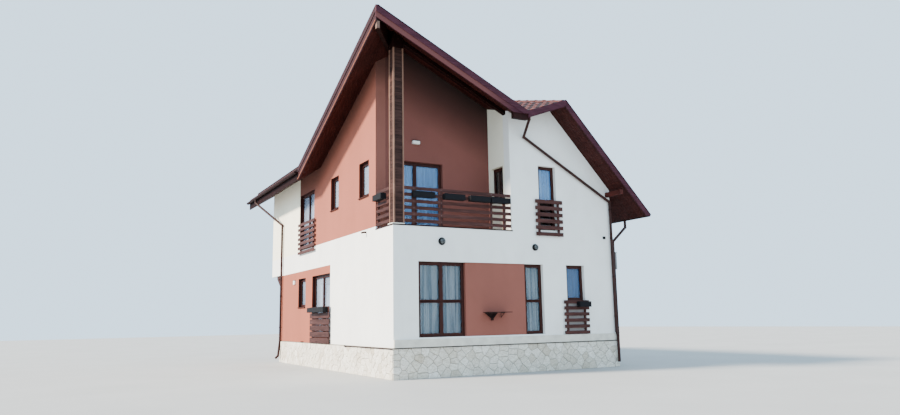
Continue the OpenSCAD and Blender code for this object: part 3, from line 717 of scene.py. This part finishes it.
# Faces lower than this take the painted shade of the hollows
HOLLOW_SHADE_BELOW = 0.004 + 0.3 * WAVE + 0.5 * LIP
# Beyond an outline, cut off again; start of the first course; step under the next course
SPARE, FIRST_COURSE, UNDER_NEXT = 0.1, 0.08, 0.002


def tiles(name, outline, out=None):
    """Waved tiles in courses over one slope, cut to its outline, with painted shade in their
    hollows.
    """
    slope = Slope(outline)
    u0, u1 = slope.span(slope.u)
    v0, v1 = slope.span(slope.v)
    u0, u1 = u0 - SPARE, u1 + SPARE
    v0 -= FIRST_COURSE
    waves = math.ceil((u1 - u0) / TILE_W)
    columns = [(u0 + (k + s) * TILE_W, s) for k in range(waves) for s in WAVE_PLACES]
    rows = []
    course = 0
    while v0 + course * TILE_L < v1 + SPARE:
        low = v0 + course * TILE_L
        rows += [(low, LIP), (low + TILE_L - UNDER_NEXT, 0.0)]
        course += 1
    top, bottom = [], []
    for v, lift in rows:
        line = []
        for u, share in columns:
            wave = 0.5 + 0.5 * math.cos(2 * math.pi * share)
            line.append(slope.at(u, v, BED + lift + WAVE * wave ** WAVE_POWER))
        top.append(line)
        bottom.append([slope.at(u, v, UNDERSIDE) for u, _ in columns])
    geo = Geo()
    geo.grid_solid(top, bottom)
    mesh = cut_mesh(geo, rim_planes(outline, out))
    # Painted shade: the hollows take the darker tile material.
    for polygon in mesh.polygons:
        if (polygon.center - slope.origin).dot(slope.w) < HOLLOW_SHADE_BELOW:
            polygon.material_index = 1
    piece(name, mesh, "tile", "tile_hollow_shade", smooth=True)


for slope_name, shift in (("corner_left", None), ("corner_right", None), ("small", None),
                          ("left", {0: 0.04}), ("right", {4: -0.002})):
    tiles(f"tiles_{slope_name}", SLOPES[slope_name][0], shift)


# Ridge tiles, each half-round and overlapping the next

RIDGE_L, RIDGE_T, RIDGE_SUNK, RIDGE_LAP = 0.36, 0.012, 0.085, 0.035
RIDGE_ARC = [math.radians(a) for a in range(-24, 205, 12)]


def ridge_tiles(geo, start, end):
    """A row of tiles from start to end, a rolled edge at the foot of each."""
    along = end - start
    length = along.length
    along.normalize()
    side = Vector((-along.y, along.x, 0)).normalized()
    up = side.cross(along) * -1
    if up.z < 0:
        up = -up
    count = max(1, round(length / RIDGE_L))
    step = length / count
    for i in range(count):
        rings = []
        for place, outer in ((0.0, 0.128), (0.03, 0.128), (0.034, 0.122),
                             (step + RIDGE_LAP, 0.113)):
            if i == count - 1:
                place = min(place, step)
            centre = start + along * (i * step + place) - up * RIDGE_SUNK
            rings.append([centre + side * math.cos(a) * r + up * math.sin(a) * r
                          for r, arc in ((outer, RIDGE_ARC), (outer - RIDGE_T, RIDGE_ARC[::-1]))
                          for a in arc])
        geo.loft(rings)


def ridges():
    geo = Geo()
    ridge_tiles(geo, P_RIDGE_BACK, P_MEET + Vector((0, 0.02, 0)))
    for foot, gap, gap_above in ((P_CORNER, 0.12, 0.11), (P_PEAK, 0.06, 0.34)):
        rise = (P_MEET - foot).normalized()
        ridge_tiles(geo, foot + rise * gap, P_MEET - rise * gap_above)
    piece("ridge_tiles", geo, "tile", smooth=True, replaces=["ridge_caps"])


ridges()


# Soffit boards: thickness, width, joint, start of the first one

SOFFIT_T, BOARD_W, GAP, FIRST_BOARD = 0.022, 0.12, 0.006, 0.03


def soffit_boards():
    total = bmesh.new()
    for outline, depth, direction in SLOPES.values():
        slope = Slope(outline)
        along = direction.normalized()
        across = slope.w.cross(along).normalized()
        a0, a1 = slope.span(along)
        a0, a1 = a0 - SPARE, a1 + SPARE
        c0, c1 = slope.span(across)
        geo = Geo()
        for k in range(math.ceil((c1 - c0) / BOARD_W) + 1):
            low = c0 + k * BOARD_W - FIRST_BOARD
            high = low + BOARD_W - GAP
            geo.prism([slope.origin + along * a + across * c - Vector((0, 0, depth))
                       for a, c in ((a0, low), (a1, low), (a1, high), (a0, high))],
                      (0, 0, SOFFIT_T))
        total.from_mesh(cut_mesh(geo, rim_planes(outline) + [(P_RIGHT, Vector((0, 0, -1)))]))
    mesh = bpy.data.meshes.new("soffit_boards")
    total.to_mesh(mesh)
    total.free()
    piece("soffit_boards", mesh, "soffit", replaces=["soffit"])


soffit_boards()


# Verge flashings: a thin strip over the boards' top edges

FLASH_LAP, FLASH_RISE, FLASH_TOP, FLASH_UNDER = 0.05, 0.03, 0.009, 0.001
FLASH_FACE, FLASH_BACK = 0.048, 0.03


def flashing():
    geo = Geo()

    def strips(outward, face, *points):
        """Runs along points on the roof's edge; outward points away from the roof."""
        out = Vector(outward)
        top = Vector((0, 0, FLASH_RISE + FLASH_TOP))
        under = Vector((0, 0, FLASH_RISE + FLASH_UNDER))
        for ends in zip(points, points[1:]):
            inner = [p + top - out * FLASH_LAP for p in ends]
            outer = [p + top + out * face for p in ends]
            geo.prism(inner + outer[::-1], under - top)

    strips((-1, 0, 0), FLASH_FACE, P_CORNER, P_KINK)
    strips((0, -1, 0), FLASH_FACE, P_CORNER, P_VALLEY, P_PEAK, P_RIGHT)
    strips((0, 1, 0), FLASH_BACK, P_LEFT_BACK, P_RIDGE_BACK, P_RIGHT_BACK)
    piece("verge_flashing", geo, "flashing")


flashing()


# Stone cladding of the plinth: its height, how far it stands out, courses, spacing, joints

PLINTH_TOP, PLINTH_OUT = 0.775, 0.03
COURSES, STONE_PITCH, JOINT = 5, 0.31, 0.01
SMALLEST_STONE = 0.004
CELL_REACH = 0.5
NEAR_X, NEAR_Z = 0.9, 0.5


def cut_halfway(cell, here, there):
    """The part of a flat cell that lies nearer to here than to there, less half a joint."""
    dx, dz = there[0] - here[0], there[1] - here[1]
    reach = math.hypot(dx, dz)
    limit = reach / 2 - JOINT / 2
    kept = []
    for p, q in zip(cell, cell[1:] + cell[:1]):
        a, b = (((x - here[0]) * dx + (z - here[1]) * dz) / reach - limit for x, z in (p, q))
        if a <= 0:
            kept.append(p)
        if a * b < 0:
            t = a / (a - b)
            kept.append((p[0] + t * (q[0] - p[0]), p[1] + t * (q[1] - p[1])))
    return kept


def stones():
    rng = random.Random(7)
    geo = Geo()

    def wall(start, along, length):
        """Irregular stones over one side; outward is to the right of along."""
        outward = Vector((along.y, -along.x, 0))
        seeds = []
        for r in range(COURSES):
            height = (r + 0.5) * PLINTH_TOP / COURSES
            for c in range(-1, math.ceil(length / STONE_PITCH) + 1):
                offset = c * STONE_PITCH + (r % 2) * STONE_PITCH / 2
                seeds.append((offset + rng.uniform(-0.09, 0.09),
                              height + rng.uniform(-0.045, 0.045)))
        for seed in seeds:
            left, right = max(0.0, seed[0] - CELL_REACH), min(length, seed[0] + CELL_REACH)
            if left >= right:
                continue
            cell = [(left, 0.0), (right, 0.0), (right, PLINTH_TOP), (left, PLINTH_TOP)]
            for other in seeds:
                far = abs(other[0] - seed[0]) > NEAR_X or abs(other[1] - seed[1]) > NEAR_Z
                if other is not seed and not far:
                    cell = cut_halfway(cell, seed, other)
                    if len(cell) < 3:
                        break
            if len(cell) < 3:
                continue
            corners = zip(cell, cell[1:] + cell[:1])
            area = abs(sum(p[0] * q[1] - q[0] * p[1] for p, q in corners)) / 2
            if area < SMALLEST_STONE:
                continue
            cx, cz = (sum(p[i] for p in cell) / len(cell) for i in range(2))
            proud = rng.uniform(0.008, 0.02)
            slant = rng.uniform(-0.004, 0.004)

            def ring(shrink, out):
                placed = []
                for x, z in cell:
                    spot = along * (x + (cx - x) * shrink)
                    lift = Vector((0, 0, z + (cz - z) * shrink))
                    tilt = slant * (x - cx) / 0.15
                    placed.append(start + spot + lift + outward * (out + tilt))
                return placed

            geo.loft([ring(0.0, 0.0), ring(0.0, proud * 0.55), ring(0.06, proud),
                      ring(0.3, proud + 0.003)])

    left, right, front, back = -PLINTH_OUT, BODY_W + PLINTH_OUT, -PLINTH_OUT, GROUND_L + PLINTH_OUT
    width, depth = BODY_W + 2 * PLINTH_OUT, GROUND_L + 2 * PLINTH_OUT
    wall(Vector((left, front, 0)), Vector((1, 0, 0)), width)
    wall(Vector((left, back, 0)), Vector((0, -1, 0)), depth)
    wall(Vector((right, front, 0)), Vector((0, 1, 0)), depth)
    wall(Vector((right, back, 0)), Vector((-1, 0, 0)), width)
    piece("plinth_stones", geo, "stone")


stones()


# Windows

def islands(node):
    """Boxes of the separate solids of a node, found by touching corners."""
    mesh = NODES[node].data
    keys, parent = {}, {}

    def find(k):
        while parent[k] != k:
            parent[k] = parent[parent[k]]
            k = parent[k]
        return k

    for vertex in mesh.vertices:
        key = tuple(round(c, 4) for c in vertex.co)
        keys[vertex.index] = key
        parent.setdefault(key, key)
    for polygon in mesh.polygons:
        first = keys[polygon.vertices[0]]
        for index in polygon.vertices[1:]:
            parent[find(keys[index])] = find(first)
    groups = {}
    for key in parent:
        groups.setdefault(find(key), []).append(key)
    boxes = []
    for points in groups.values():
        low = Vector(min(p[i] for p in points) for i in range(3))
        high = Vector(max(p[i] for p in points) for i in range(3))
        boxes.append((low, high))
    return sorted(boxes, key=lambda b: tuple(b[0]))


def thin_axis(low, high):
    """0 or 1: the axis along which an upright sheet is thin."""
    return 1 if high.y - low.y < high.x - low.x else 0


# Rings of a sash: reach over the frame, reach over the pane, height
SASH_RINGS = ((0.042, 0.012, 0.009), (0.014, 0.012, 0.016))
SASH_SUNK = 0.02


def sash_rings(name, glass_node):
    """A moulded ring round each pane on the outer and the inner face of its frame."""
    geo = Geo()
    for low, high in islands(glass_node):
        thin = thin_axis(low, high)
        wide = 1 - thin
        middle = (low[thin] + high[thin]) / 2

        def at(a, z, d):
            p = [0, 0, z]
            p[wide], p[thin] = a, d
            return Vector(p)

        def around(grow):
            a0, a1 = low[wide] - grow, high[wide] + grow
            z0, z1 = low.z - grow, high.z + grow
            return [(a0, z0), (a1, z0), (a1, z1), (a0, z1)]

        for way in (-1, 1):
            face = middle + way * FRAME_T / 2
            for grow, shrink, deep in SASH_RINGS:
                near, far = face - way * SASH_SUNK, face + way * deep
                outer, inner = around(grow), around(-shrink)
                shift = Vector()
                shift[thin] = far - near
                for k in range(4):
                    m = (k + 1) % 4
                    corners = (outer[k], outer[m], inner[m], inner[k])
                    geo.prism([at(a, z, near) for a, z in corners], shift)
    piece(name, geo, "window", bevel=0.003)


sash_rings("ground_sashes", "ground_glass")
sash_rings("upper_sashes", "upper_glass")

# Openings in the left face: from, to, foot, head
LEFT_OPENINGS = ((1.66, 2.41, 5.04, 6.08), (4.17, 4.91, 5.04, 6.1), (6.63, 8.31, 4.06, 6.08),
                 (4.89, 6.74, 1.04, 3.04), (7.49, 8.34, 2.02, 3.04))
# Dark sheets of painted shade in these reveals: thickness, gap, and their span in x
SHADE_SHEET_T, SHADE_SHEET_GAP = 0.006, 0.0005
SHADE_SHEET_FROM, SHADE_SHEET_TO = 0.003, 0.109


def reveal_shade_sheets():
    """Dark sheets on the far jamb and head of each reveal in the left face, a painted shade."""
    geo = Geo()
    for start, end, foot, head in LEFT_OPENINGS:
        geo.box((SHADE_SHEET_FROM, end - SHADE_SHEET_T, foot), (SHADE_SHEET_TO, end - SHADE_SHEET_GAP, head))
        geo.box((SHADE_SHEET_FROM, start, head - SHADE_SHEET_T),
                (SHADE_SHEET_TO, end - SHADE_SHEET_T, head - SHADE_SHEET_GAP))
    piece("reveal_painted_shade", geo, "window")


reveal_shade_sheets()


def apron():
    """Rendered infill and rail below the sash of the right-hand window, behind its guard."""
    left, right, foot, top, rail_top = 5.64, 6.32, 1.045, 1.945, 1.975
    box_piece("window_apron", "white_shaded",
              ((left + 0.002, 0.004, foot), (right - 0.002, 0.108, top)))
    box_piece("apron_rail", "window",
              ((left + 0.004, 0.02, top + 0.002), (right - 0.004, 0.109, rail_top)),
              ((left + 0.087, 0.104, rail_top + 0.002), (right - 0.087, 0.131, 2.08)),
              bevel=0.003)


apron()


def shelf():
    """Fold-down shelf: three boards on a folding V frame, with a small bracket beside it."""
    left, right, under, board = 2.7, 3.46, 1.662, 0.1
    geo = Geo()
    for k in range(3):
        front = -0.32 + k * 0.107
        geo.box((left, front, under), (right, front + board, 1.68))
    # Cleat on the wall, plate, four rods and the block at their foot
    top, foot = 1.6595, Vector((2.983, -0.03, 1.475))
    geo.box((2.77, -0.05, 1.635), (3.14, -0.001, top))
    geo.prism([(x, -0.012, z) for x, z in ((2.78, 1.634), (3.13, 1.634), (2.983, 1.48))],
              (0, 0.011, 0))
    for x in (2.785, 2.88, 3.03, 3.125):
        geo.tube([foot, Vector((x, -0.04, 1.64))], 0.011, 8)
    geo.box((2.953, -0.045, 1.45), (3.013, -0.001, 1.49))
    # Small bracket: upright, arm and brace as (y, z) of both ends
    for ends in (((-0.008, top), (-0.008, 1.52)), ((-0.008, 1.652), (-0.19, 1.652)),
                 ((-0.008, 1.53), (-0.18, 1.65))):
        geo.tube([Vector((3.28, *end)) for end in ends], 0.0075, 8)
    piece("shelf_boards", geo, "beam_dark", bevel=0.002, replaces=["wall_shelf"])


shelf()


# Curtains: gathered net, one sheet behind each window that shows one

FOLD, PITCH, CLOTH_T = 0.03, 0.115, 0.0016
CLOTH_ROWS, FOLD_STEPS = 14, 12
CLOTH_SIDE, HEM, CLOTH_LESS = 0.01, 0.012, 0.014
# Front nets that start beyond this place end above the foot of their window
SHORT_FROM, SHORT_BY = 4.5, 0.93


def curtains():
    rng = random.Random(11)
    for number, (low, high) in enumerate(islands("curtains")):
        thin = thin_axis(low, high)
        wide = 1 - thin
        middle = (low[thin] + high[thin]) / 2
        foot = low.z
        if thin == 1 and low.x > SHORT_FROM:
            foot += SHORT_BY
        tall = high.z - foot - CLOTH_LESS
        start, end = low[wide] + CLOTH_SIDE, high[wide] - CLOTH_SIDE
        length = end - start
        folds = max(2, round(length / PITCH))
        columns = folds * FOLD_STEPS
        phases = [rng.uniform(-0.35, 0.35) for _ in range(folds + 1)]
        tops = [rng.uniform(0.75, 1.0) for _ in range(folds + 1)]
        grid = []
        for r in range(CLOTH_ROWS + 1):
            share = r / CLOTH_ROWS
            line = []
            for c in range(columns + 1):
                place = c / columns * folds
                k = min(int(place), folds - 1)
                f = place - k
                phase = phases[k] * (1 - f) + phases[k + 1] * f
                size = (tops[k] * (1 - f) + tops[k + 1] * f) * (0.8 + 0.2 * (1 - share))
                swing = math.sin(2 * math.pi * place + phase * (1 - share) * 1.6)
                p = [0, 0, foot + HEM + tall * share]
                p[wide] = start + length * c / columns
                p[thin] = middle + FOLD * size * swing
                line.append(Vector(p))
            grid.append(line)
        shift = Vector()
        shift[thin] = CLOTH_T
        geo = Geo()
        geo.grid_solid([[p + shift for p in line] for line in grid], grid)
        cloth = piece(f"curtain_{number + 1}", geo, "curtain", smooth=True,
                      replaces=() if number else ["curtains"])


curtains()


# Post of the loggia: core and boards in from its faces, width and pitch of boards, strips

CORE_IN, BOARD_IN, POST_BOARD, POST_PITCH, POST_STRIP = 0.024, 0.008, 0.093, 0.1, 0.04


def corner_post():
    """Level boards round a core, with light strips up the corners."""
    geo = Geo()
    x0, y0, z0 = POST_LOW
    x1, y1, z1 = POST_HIGH
    geo.box((x0 + CORE_IN, y0 + CORE_IN, z0), (x1 - CORE_IN, y1 - CORE_IN, z1))
    level = z0 + 0.03
    while level < z1 - POST_BOARD:
        geo.box((x0 + BOARD_IN, y0 + BOARD_IN, level),
                (x1 - BOARD_IN, y1 - BOARD_IN, level + POST_BOARD))
        level += POST_PITCH
    geo.mark = 1
    for x in (x0, x1 - POST_STRIP):
        for y in (y0, y1 - POST_STRIP):
            geo.box((x, y, z0), (x + POST_STRIP, y + POST_STRIP, z1))
    piece("corner_post_cladding", geo, "post", "post_edge", bevel=0.002, replaces=["corner_post"])


corner_post()


# Metal and stone trim

def lathe(geo, centre, profile, outward, sides=28):
    """Rings of (radius, distance along outward) round a level axis through centre."""
    out = Vector(outward)
    side = UP.cross(out).normalized()
    geo.loft([circle(Vector(centre) + out * d, side, UP, r, sides) for r, d in profile])


def trim():
    """Drip strips over the plinth, dark strips on the loggia slab's edge as a painted shadow under
    the railings, foot plate, floor tiles.
    """
    out, back, top = -0.07, -0.052, 0.79
    slab_skin, slab_low, slab_high = -0.014, UPPER_Z - 0.028, UPPER_Z + 0.004
    box_piece("drip_strips_and_slab_shadow", "gutter",
              ((out, out, 0.764), (back, 3.3, top)),
              ((out, 3.3, 0.75), (-0.045, 3.42, 0.8)),
              ((back, out, 0.778), (BODY_W + 0.05, -0.045, top)),
              ((-0.045, 7.62, 0.802), (-0.002, 7.86, 0.83)),
              # Painted shadow: dark strips on the slab's front and left edges under the railings.
              ((0.0, slab_skin, slab_low), (LOGGIA_W + 0.03, -0.001, slab_high)),
              ((slab_skin, slab_skin, slab_low), (-0.001, LOGGIA_D, slab_high)), bevel=0.002)
    box_piece("post_foot", "concrete",
              ((-0.02, -0.02, slab_high), (POST_W - 0.001, POST_D - 0.002, UPPER_Z + 0.03)),
              bevel=0.004)

    floor = Geo()
    tile, joint, edge = 0.3, 0.004, 0.012
    for i in range(12):
        for k in range(4):
            x0, y0 = 0.02 + i * tile, 0.02 + k * tile
            x1 = min(x0 + tile - joint, LOGGIA_W - edge)
            y1 = min(y0 + tile - joint, LOGGIA_D - edge)
            if x0 > 0.33 or y0 > 0.28:
                floor.box((x0, y0, UPPER_Z + 0.0005), (x1, y1, UPPER_Z + 0.009))
    piece("loggia_tiles", floor, "paver", bevel=0.001)


trim()

# Round lamps on the front: centre, radius
LAMPS = (((1.44, 0, 3.59), 0.105), ((4.53, 0, 3.53), 0.1))
# Their housing in from the radius and their glass as a share of its own, by distance outward
HOUSING = ((0, 0.001), (0, 0.03), (0.012, 0.048), (0.02, 0.067))
DOME = ((1, 0.066), (0.94, 0.082), (0.7, 0.097), (0.25, 0.104))
DOME_IN, CAGE_REACH, CAGE_TURN = 0.035, 1.12, 0.35


def lamps():
    """Round bulkhead lamps with caged glass, the two box lamps and the sensor's housing."""
    geo = Geo()
    front = (0, -1, 0)
    for centre, radius in LAMPS:
        dome = radius - DOME_IN
        lathe(geo, centre, [(radius - less, d) for less, d in HOUSING], front)
        geo.mark = 1
        lathe(geo, centre, [(dome * share, d) for share, d in DOME], front)
        geo.mark = 0
        for turn in (CAGE_TURN, CAGE_TURN + math.pi / 2):
            arm = Vector((math.cos(turn), 0, math.sin(turn)))
            path = [Vector(centre) + arm * dome * CAGE_REACH * math.cos(a)
                    + Vector((0, -0.064 - 0.045 * math.sin(a), 0))
                    for a in (math.pi * k / 10 for k in range(11))]
            geo.tube(path, 0.005, 6, up=Vector((0.3, 1, 0.2)).normalized())
    geo.box((7.125, -0.03, 3.88), (7.215, -0.001, 3.96))
    lathe(geo, (7.17, 0, 3.92), [(0.034, 0.03), (0.03, 0.045), (0.015, 0.055)], front, 16)
    piece("bulkhead_lamps", geo, "black", "cage_glass", smooth=True)
    box_piece("box_lamps", "lamp", ((1.136, 1.07, 6.536), (1.354, 1.1585, 6.628)),
              ((-0.05, 8.715, 2.87), (-0.0015, 8.885, 3.01)), bevel=0.004)
    box_piece("box_lamp_caps", "black", ((1.128, 1.062, 6.628), (1.362, 1.1585, 6.645)),
              ((-0.056, 8.71, 3.01), (-0.0015, 8.89, 3.022)), bevel=0.002)


lamps()

# Left gutter: its centre, from and to; straps round it: radii, width, pitch
GUTTER_X, GUTTER_Z = -0.84, 6.52
STRAPS_FROM, STRAPS_TO = 6.35, 13.0
STRAP_OUT, STRAP_IN, STRAP_W, STRAP_PITCH = 0.0702, 0.0668, 0.028, 0.72
# Collars of the downpipes: x, y, heights
COLLARS = ((-0.067, 10.45, (1.3, 2.5, 3.7, 4.9)), (7.42, -0.067, (1.5, 2.7, 3.9, 4.8)),
           (7.547, 0.01, (0.5, 1.0)))


def rainwater():
    """Straps round the left gutter, collars on the pipes and the loggia's small spout."""
    geo = Geo()
    arc = [math.radians(a) for a in range(180, 361, 15)]
    y = STRAPS_FROM
    while y < STRAPS_TO:
        geo.loft([[Vector((GUTTER_X + r * math.cos(a), place, GUTTER_Z + r * math.sin(a)))
                   for r, angles in ((STRAP_OUT, arc), (STRAP_IN, arc[::-1])) for a in angles]
                  for place in (y, y + STRAP_W)])
        geo.box((-0.909, y, GUTTER_Z + 0.0005), (-0.772, y + STRAP_W, GUTTER_Z + 0.006))
        y += STRAP_PITCH
    for x, y, heights in COLLARS:
        for z in heights:
            geo.tube([(x, y, z), (x, y, z + 0.03)], 0.049, 20, up=Vector((1, 0, 0)))
    geo.tube([(0.03, 1.85, 3.99), (-0.07, 1.85, 3.985), (-0.15, 1.85, 3.965)], 0.026, 14)
    piece("rainwater_trim", geo, "gutter", bevel=0.001)


rainwater()


def beam_ends():
    """Pale end grain of the ridge beam under the corner, bright lip below the left boards."""
    corner, top = (-0.746, -0.706, 9.002), 9.196
    box_piece("sawn_ends", "sawn", (corner, (-0.7405, -0.598, top)),
              (corner, (-0.67, -0.7005, top)))
    drop = Vector((0, 0, SLOPES["corner_left"][1]))
    a, b = (Vector((-0.789, p.y, p.z)) - drop for p in (P_CORNER, P_KINK))
    across, tall = Vector((-0.009, 0, 0)), Vector((0, 0, 0.022))
    lip = Geo()
    lip.prism([a, a + across, a + across + tall, a + tall], b - a)
    piece("verge_lip", lip, "lip")


beam_ends()

# Loggia railing: height, gap below its boards, their number and width, width of a stud
RAIL_H, RAIL_FOOT, RAIL_BOARDS, RAIL_BOARD, STUD_W = 1.04, 0.07, 6, 0.09, 0.08
RAIL_FACE = 0.0165
FRONT_STUDS, SIDE_STUDS = (0.075, 0.325, 0.813, 0.949), (1.0,)
SCREW = ((0.007, 0.0), (0.0055, 0.0025), (0.002, 0.0036))


def screw_rows():
    """Screw heads where the boards cross their studs."""
    geo = Geo()
    pitch = (RAIL_H - RAIL_FOOT - RAIL_BOARD) / (RAIL_BOARDS - 1)

    def places(low, width, studs):
        for share in studs:
            middle = low + share * (width - STUD_W) + STUD_W / 2
            for i in range(RAIL_BOARDS):
                yield middle, UPPER_Z + RAIL_FOOT + i * pitch + RAIL_BOARD / 2

    for x, z in places(POST_W, LOGGIA_W - POST_W, FRONT_STUDS):
        lathe(geo, (x, RAIL_FACE, z), SCREW, (0, -1, 0), 8)
    for y, z in places(POST_D, LOGGIA_D - POST_D, SIDE_STUDS):
        lathe(geo, (RAIL_FACE, y, z), SCREW, (-1, 0, 0), 8)
    piece("railing_screws", geo, "steel", smooth=True)


screw_rows()

# Back door: its face, rows and columns of panels, how deep and how slanted a panel is
DOOR_FACE = 10.44
PANEL_ROWS = ((1.15, 1.68), (1.78, 2.28), (2.38, 2.95))
PANEL_COLUMNS = ((3.64, 4.0), (4.1, 4.46))
PANEL_SUNK, PANEL_DEEP, PANEL_SLANT = 0.002, 0.024, 0.04
LEVER_X, LEVER_Z = 4.51, 2.06


def door_and_box():
    """Mouldings, lever and threshold of the back door; cap, door and slot of the meter box."""
    geo = Geo()
    y = DOOR_FACE - PANEL_SUNK
    for z0, z1 in PANEL_ROWS:
        for x0, x1 in PANEL_COLUMNS:
            outline, top = ([(x0 + i, y, z0 + i), (x1 - i, y, z0 + i), (x1 - i, y, z1 - i),
                             (x0 + i, y, z1 - i)] for i in (0, PANEL_SLANT))
            geo.prism(outline, (0, PANEL_DEEP, 0), top)
    piece("door_panels", geo, "window", bevel=0.004)
    metal = Geo()
    metal.box((LEVER_X - 0.02, DOOR_FACE, 1.92), (LEVER_X + 0.02, DOOR_FACE + 0.008, 2.16))
    metal.tube([(x, DOOR_FACE + out, LEVER_Z)
                for x, out in ((LEVER_X, 0), (LEVER_X, 0.055), (4.4, 0.06))], 0.01, 12)
    metal.box((3.5, DOOR_FACE, 1.0), (4.6, DOOR_FACE + 0.09, 1.02))
    piece("door_metal", metal, "steel", bevel=0.002)

    box_piece("meter_box_door", "box", ((7.482, 0.045, 3.4805), (7.73, 0.495, 3.497)),
              ((7.7105, 0.09, 2.99), (7.718, 0.45, 3.45)),
              ((7.52, 0.054, 2.99), (7.67, 0.0595, 3.44)), bevel=0.003)
    dark = Geo()
    dark.boxes(((7.719, 0.12, 3.3), (7.721, 0.42, 3.36)), ((7.55, 0.051, 3.3), (7.64, 0.054, 3.4)),
               ((7.5, 0.1, 2.93), (7.56, 0.16, 2.9595)), ((7.5, 0.38, 2.93), (7.56, 0.44, 2.9595)))
    lathe(dark, (7.718, 0.43, 3.2), [(0.012, 0.0), (0.012, 0.006), (0.004, 0.008)], (1, 0, 0), 14)
    piece("meter_box_trim", dark, "black", bevel=0.001)


door_and_box()

# Soil in the troughs: side of a trough, step between crumbs, how far below the rim
TROUGH_SIDE, CRUMB, SOIL_UNDER, SOIL_TOP, SOIL_ROUGH = 0.013, 0.04, 0.04, 0.03, 0.018


def trough_soil():
    rng = random.Random(3)
    geo = Geo()
    for low, high in islands("flower_troughs"):
        x0, y0, x1, y1 = (low.x + TROUGH_SIDE, low.y + TROUGH_SIDE,
                          high.x - TROUGH_SIDE, high.y - TROUGH_SIDE)
        across, down = (max(4, int(size / CRUMB)) for size in (x1 - x0, y1 - y0))
        top = [[Vector((x0 + (x1 - x0) * c / across, y0 + (y1 - y0) * r / down,
                        high.z - SOIL_TOP + rng.uniform(0.0, SOIL_ROUGH)))
                for c in range(across + 1)] for r in range(down + 1)]
        bottom = [[Vector((p.x, p.y, high.z - SOIL_UNDER)) for p in line] for line in top]
        geo.grid_solid(top, bottom)
    piece("trough_soil", geo, "soil", smooth=True)


trough_soil()


# Floor and light

FLOOR = [(-60, -60, 0), (70, -60, 0), (70, 80, 0), (-60, 80, 0)]
SKY, SKY_STRENGTH = (0.61, 0.81, 1.0, 1), 2.2
SUN_FROM, SUN_ENERGY, SUN_COLOUR = Vector((-0.8, 0.2, 0.58)), 14.0, (1.0, 0.88, 0.74)
SUN_WIDTH = math.radians(8)


def studio():
    mesh = bpy.data.meshes.new("floor")
    mesh.from_pydata(FLOOR, [], [(0, 1, 2, 3)])
    floor = linked("floor", mesh)
    s = Shader("floor_plain", rough=0.9)
    s.colour(s.ramp(s.noise(0.4, detail=3), (0.3, rgb(158, 159, 158)), (0.7, rgb(164, 165, 164))))
    mesh.materials.append(s.material)

    world = bpy.data.worlds.new("studio")
    bpy.context.scene.world = world
    world.use_nodes = True
    background = world.node_tree.nodes["Background"]
    background.inputs["Color"].default_value = SKY
    background.inputs["Strength"].default_value = SKY_STRENGTH

    light = linked("sun", bpy.data.lights.new("sun", "SUN"))
    light.data.energy = SUN_ENERGY
    light.data.color = SUN_COLOUR
    light.data.angle = SUN_WIDTH
    light.rotation_euler = SUN_FROM.to_track_quat("Z", "Y").to_euler()


studio()


def corners(box):
    return [[round(float(v), 6) for v in corner] for corner in box]
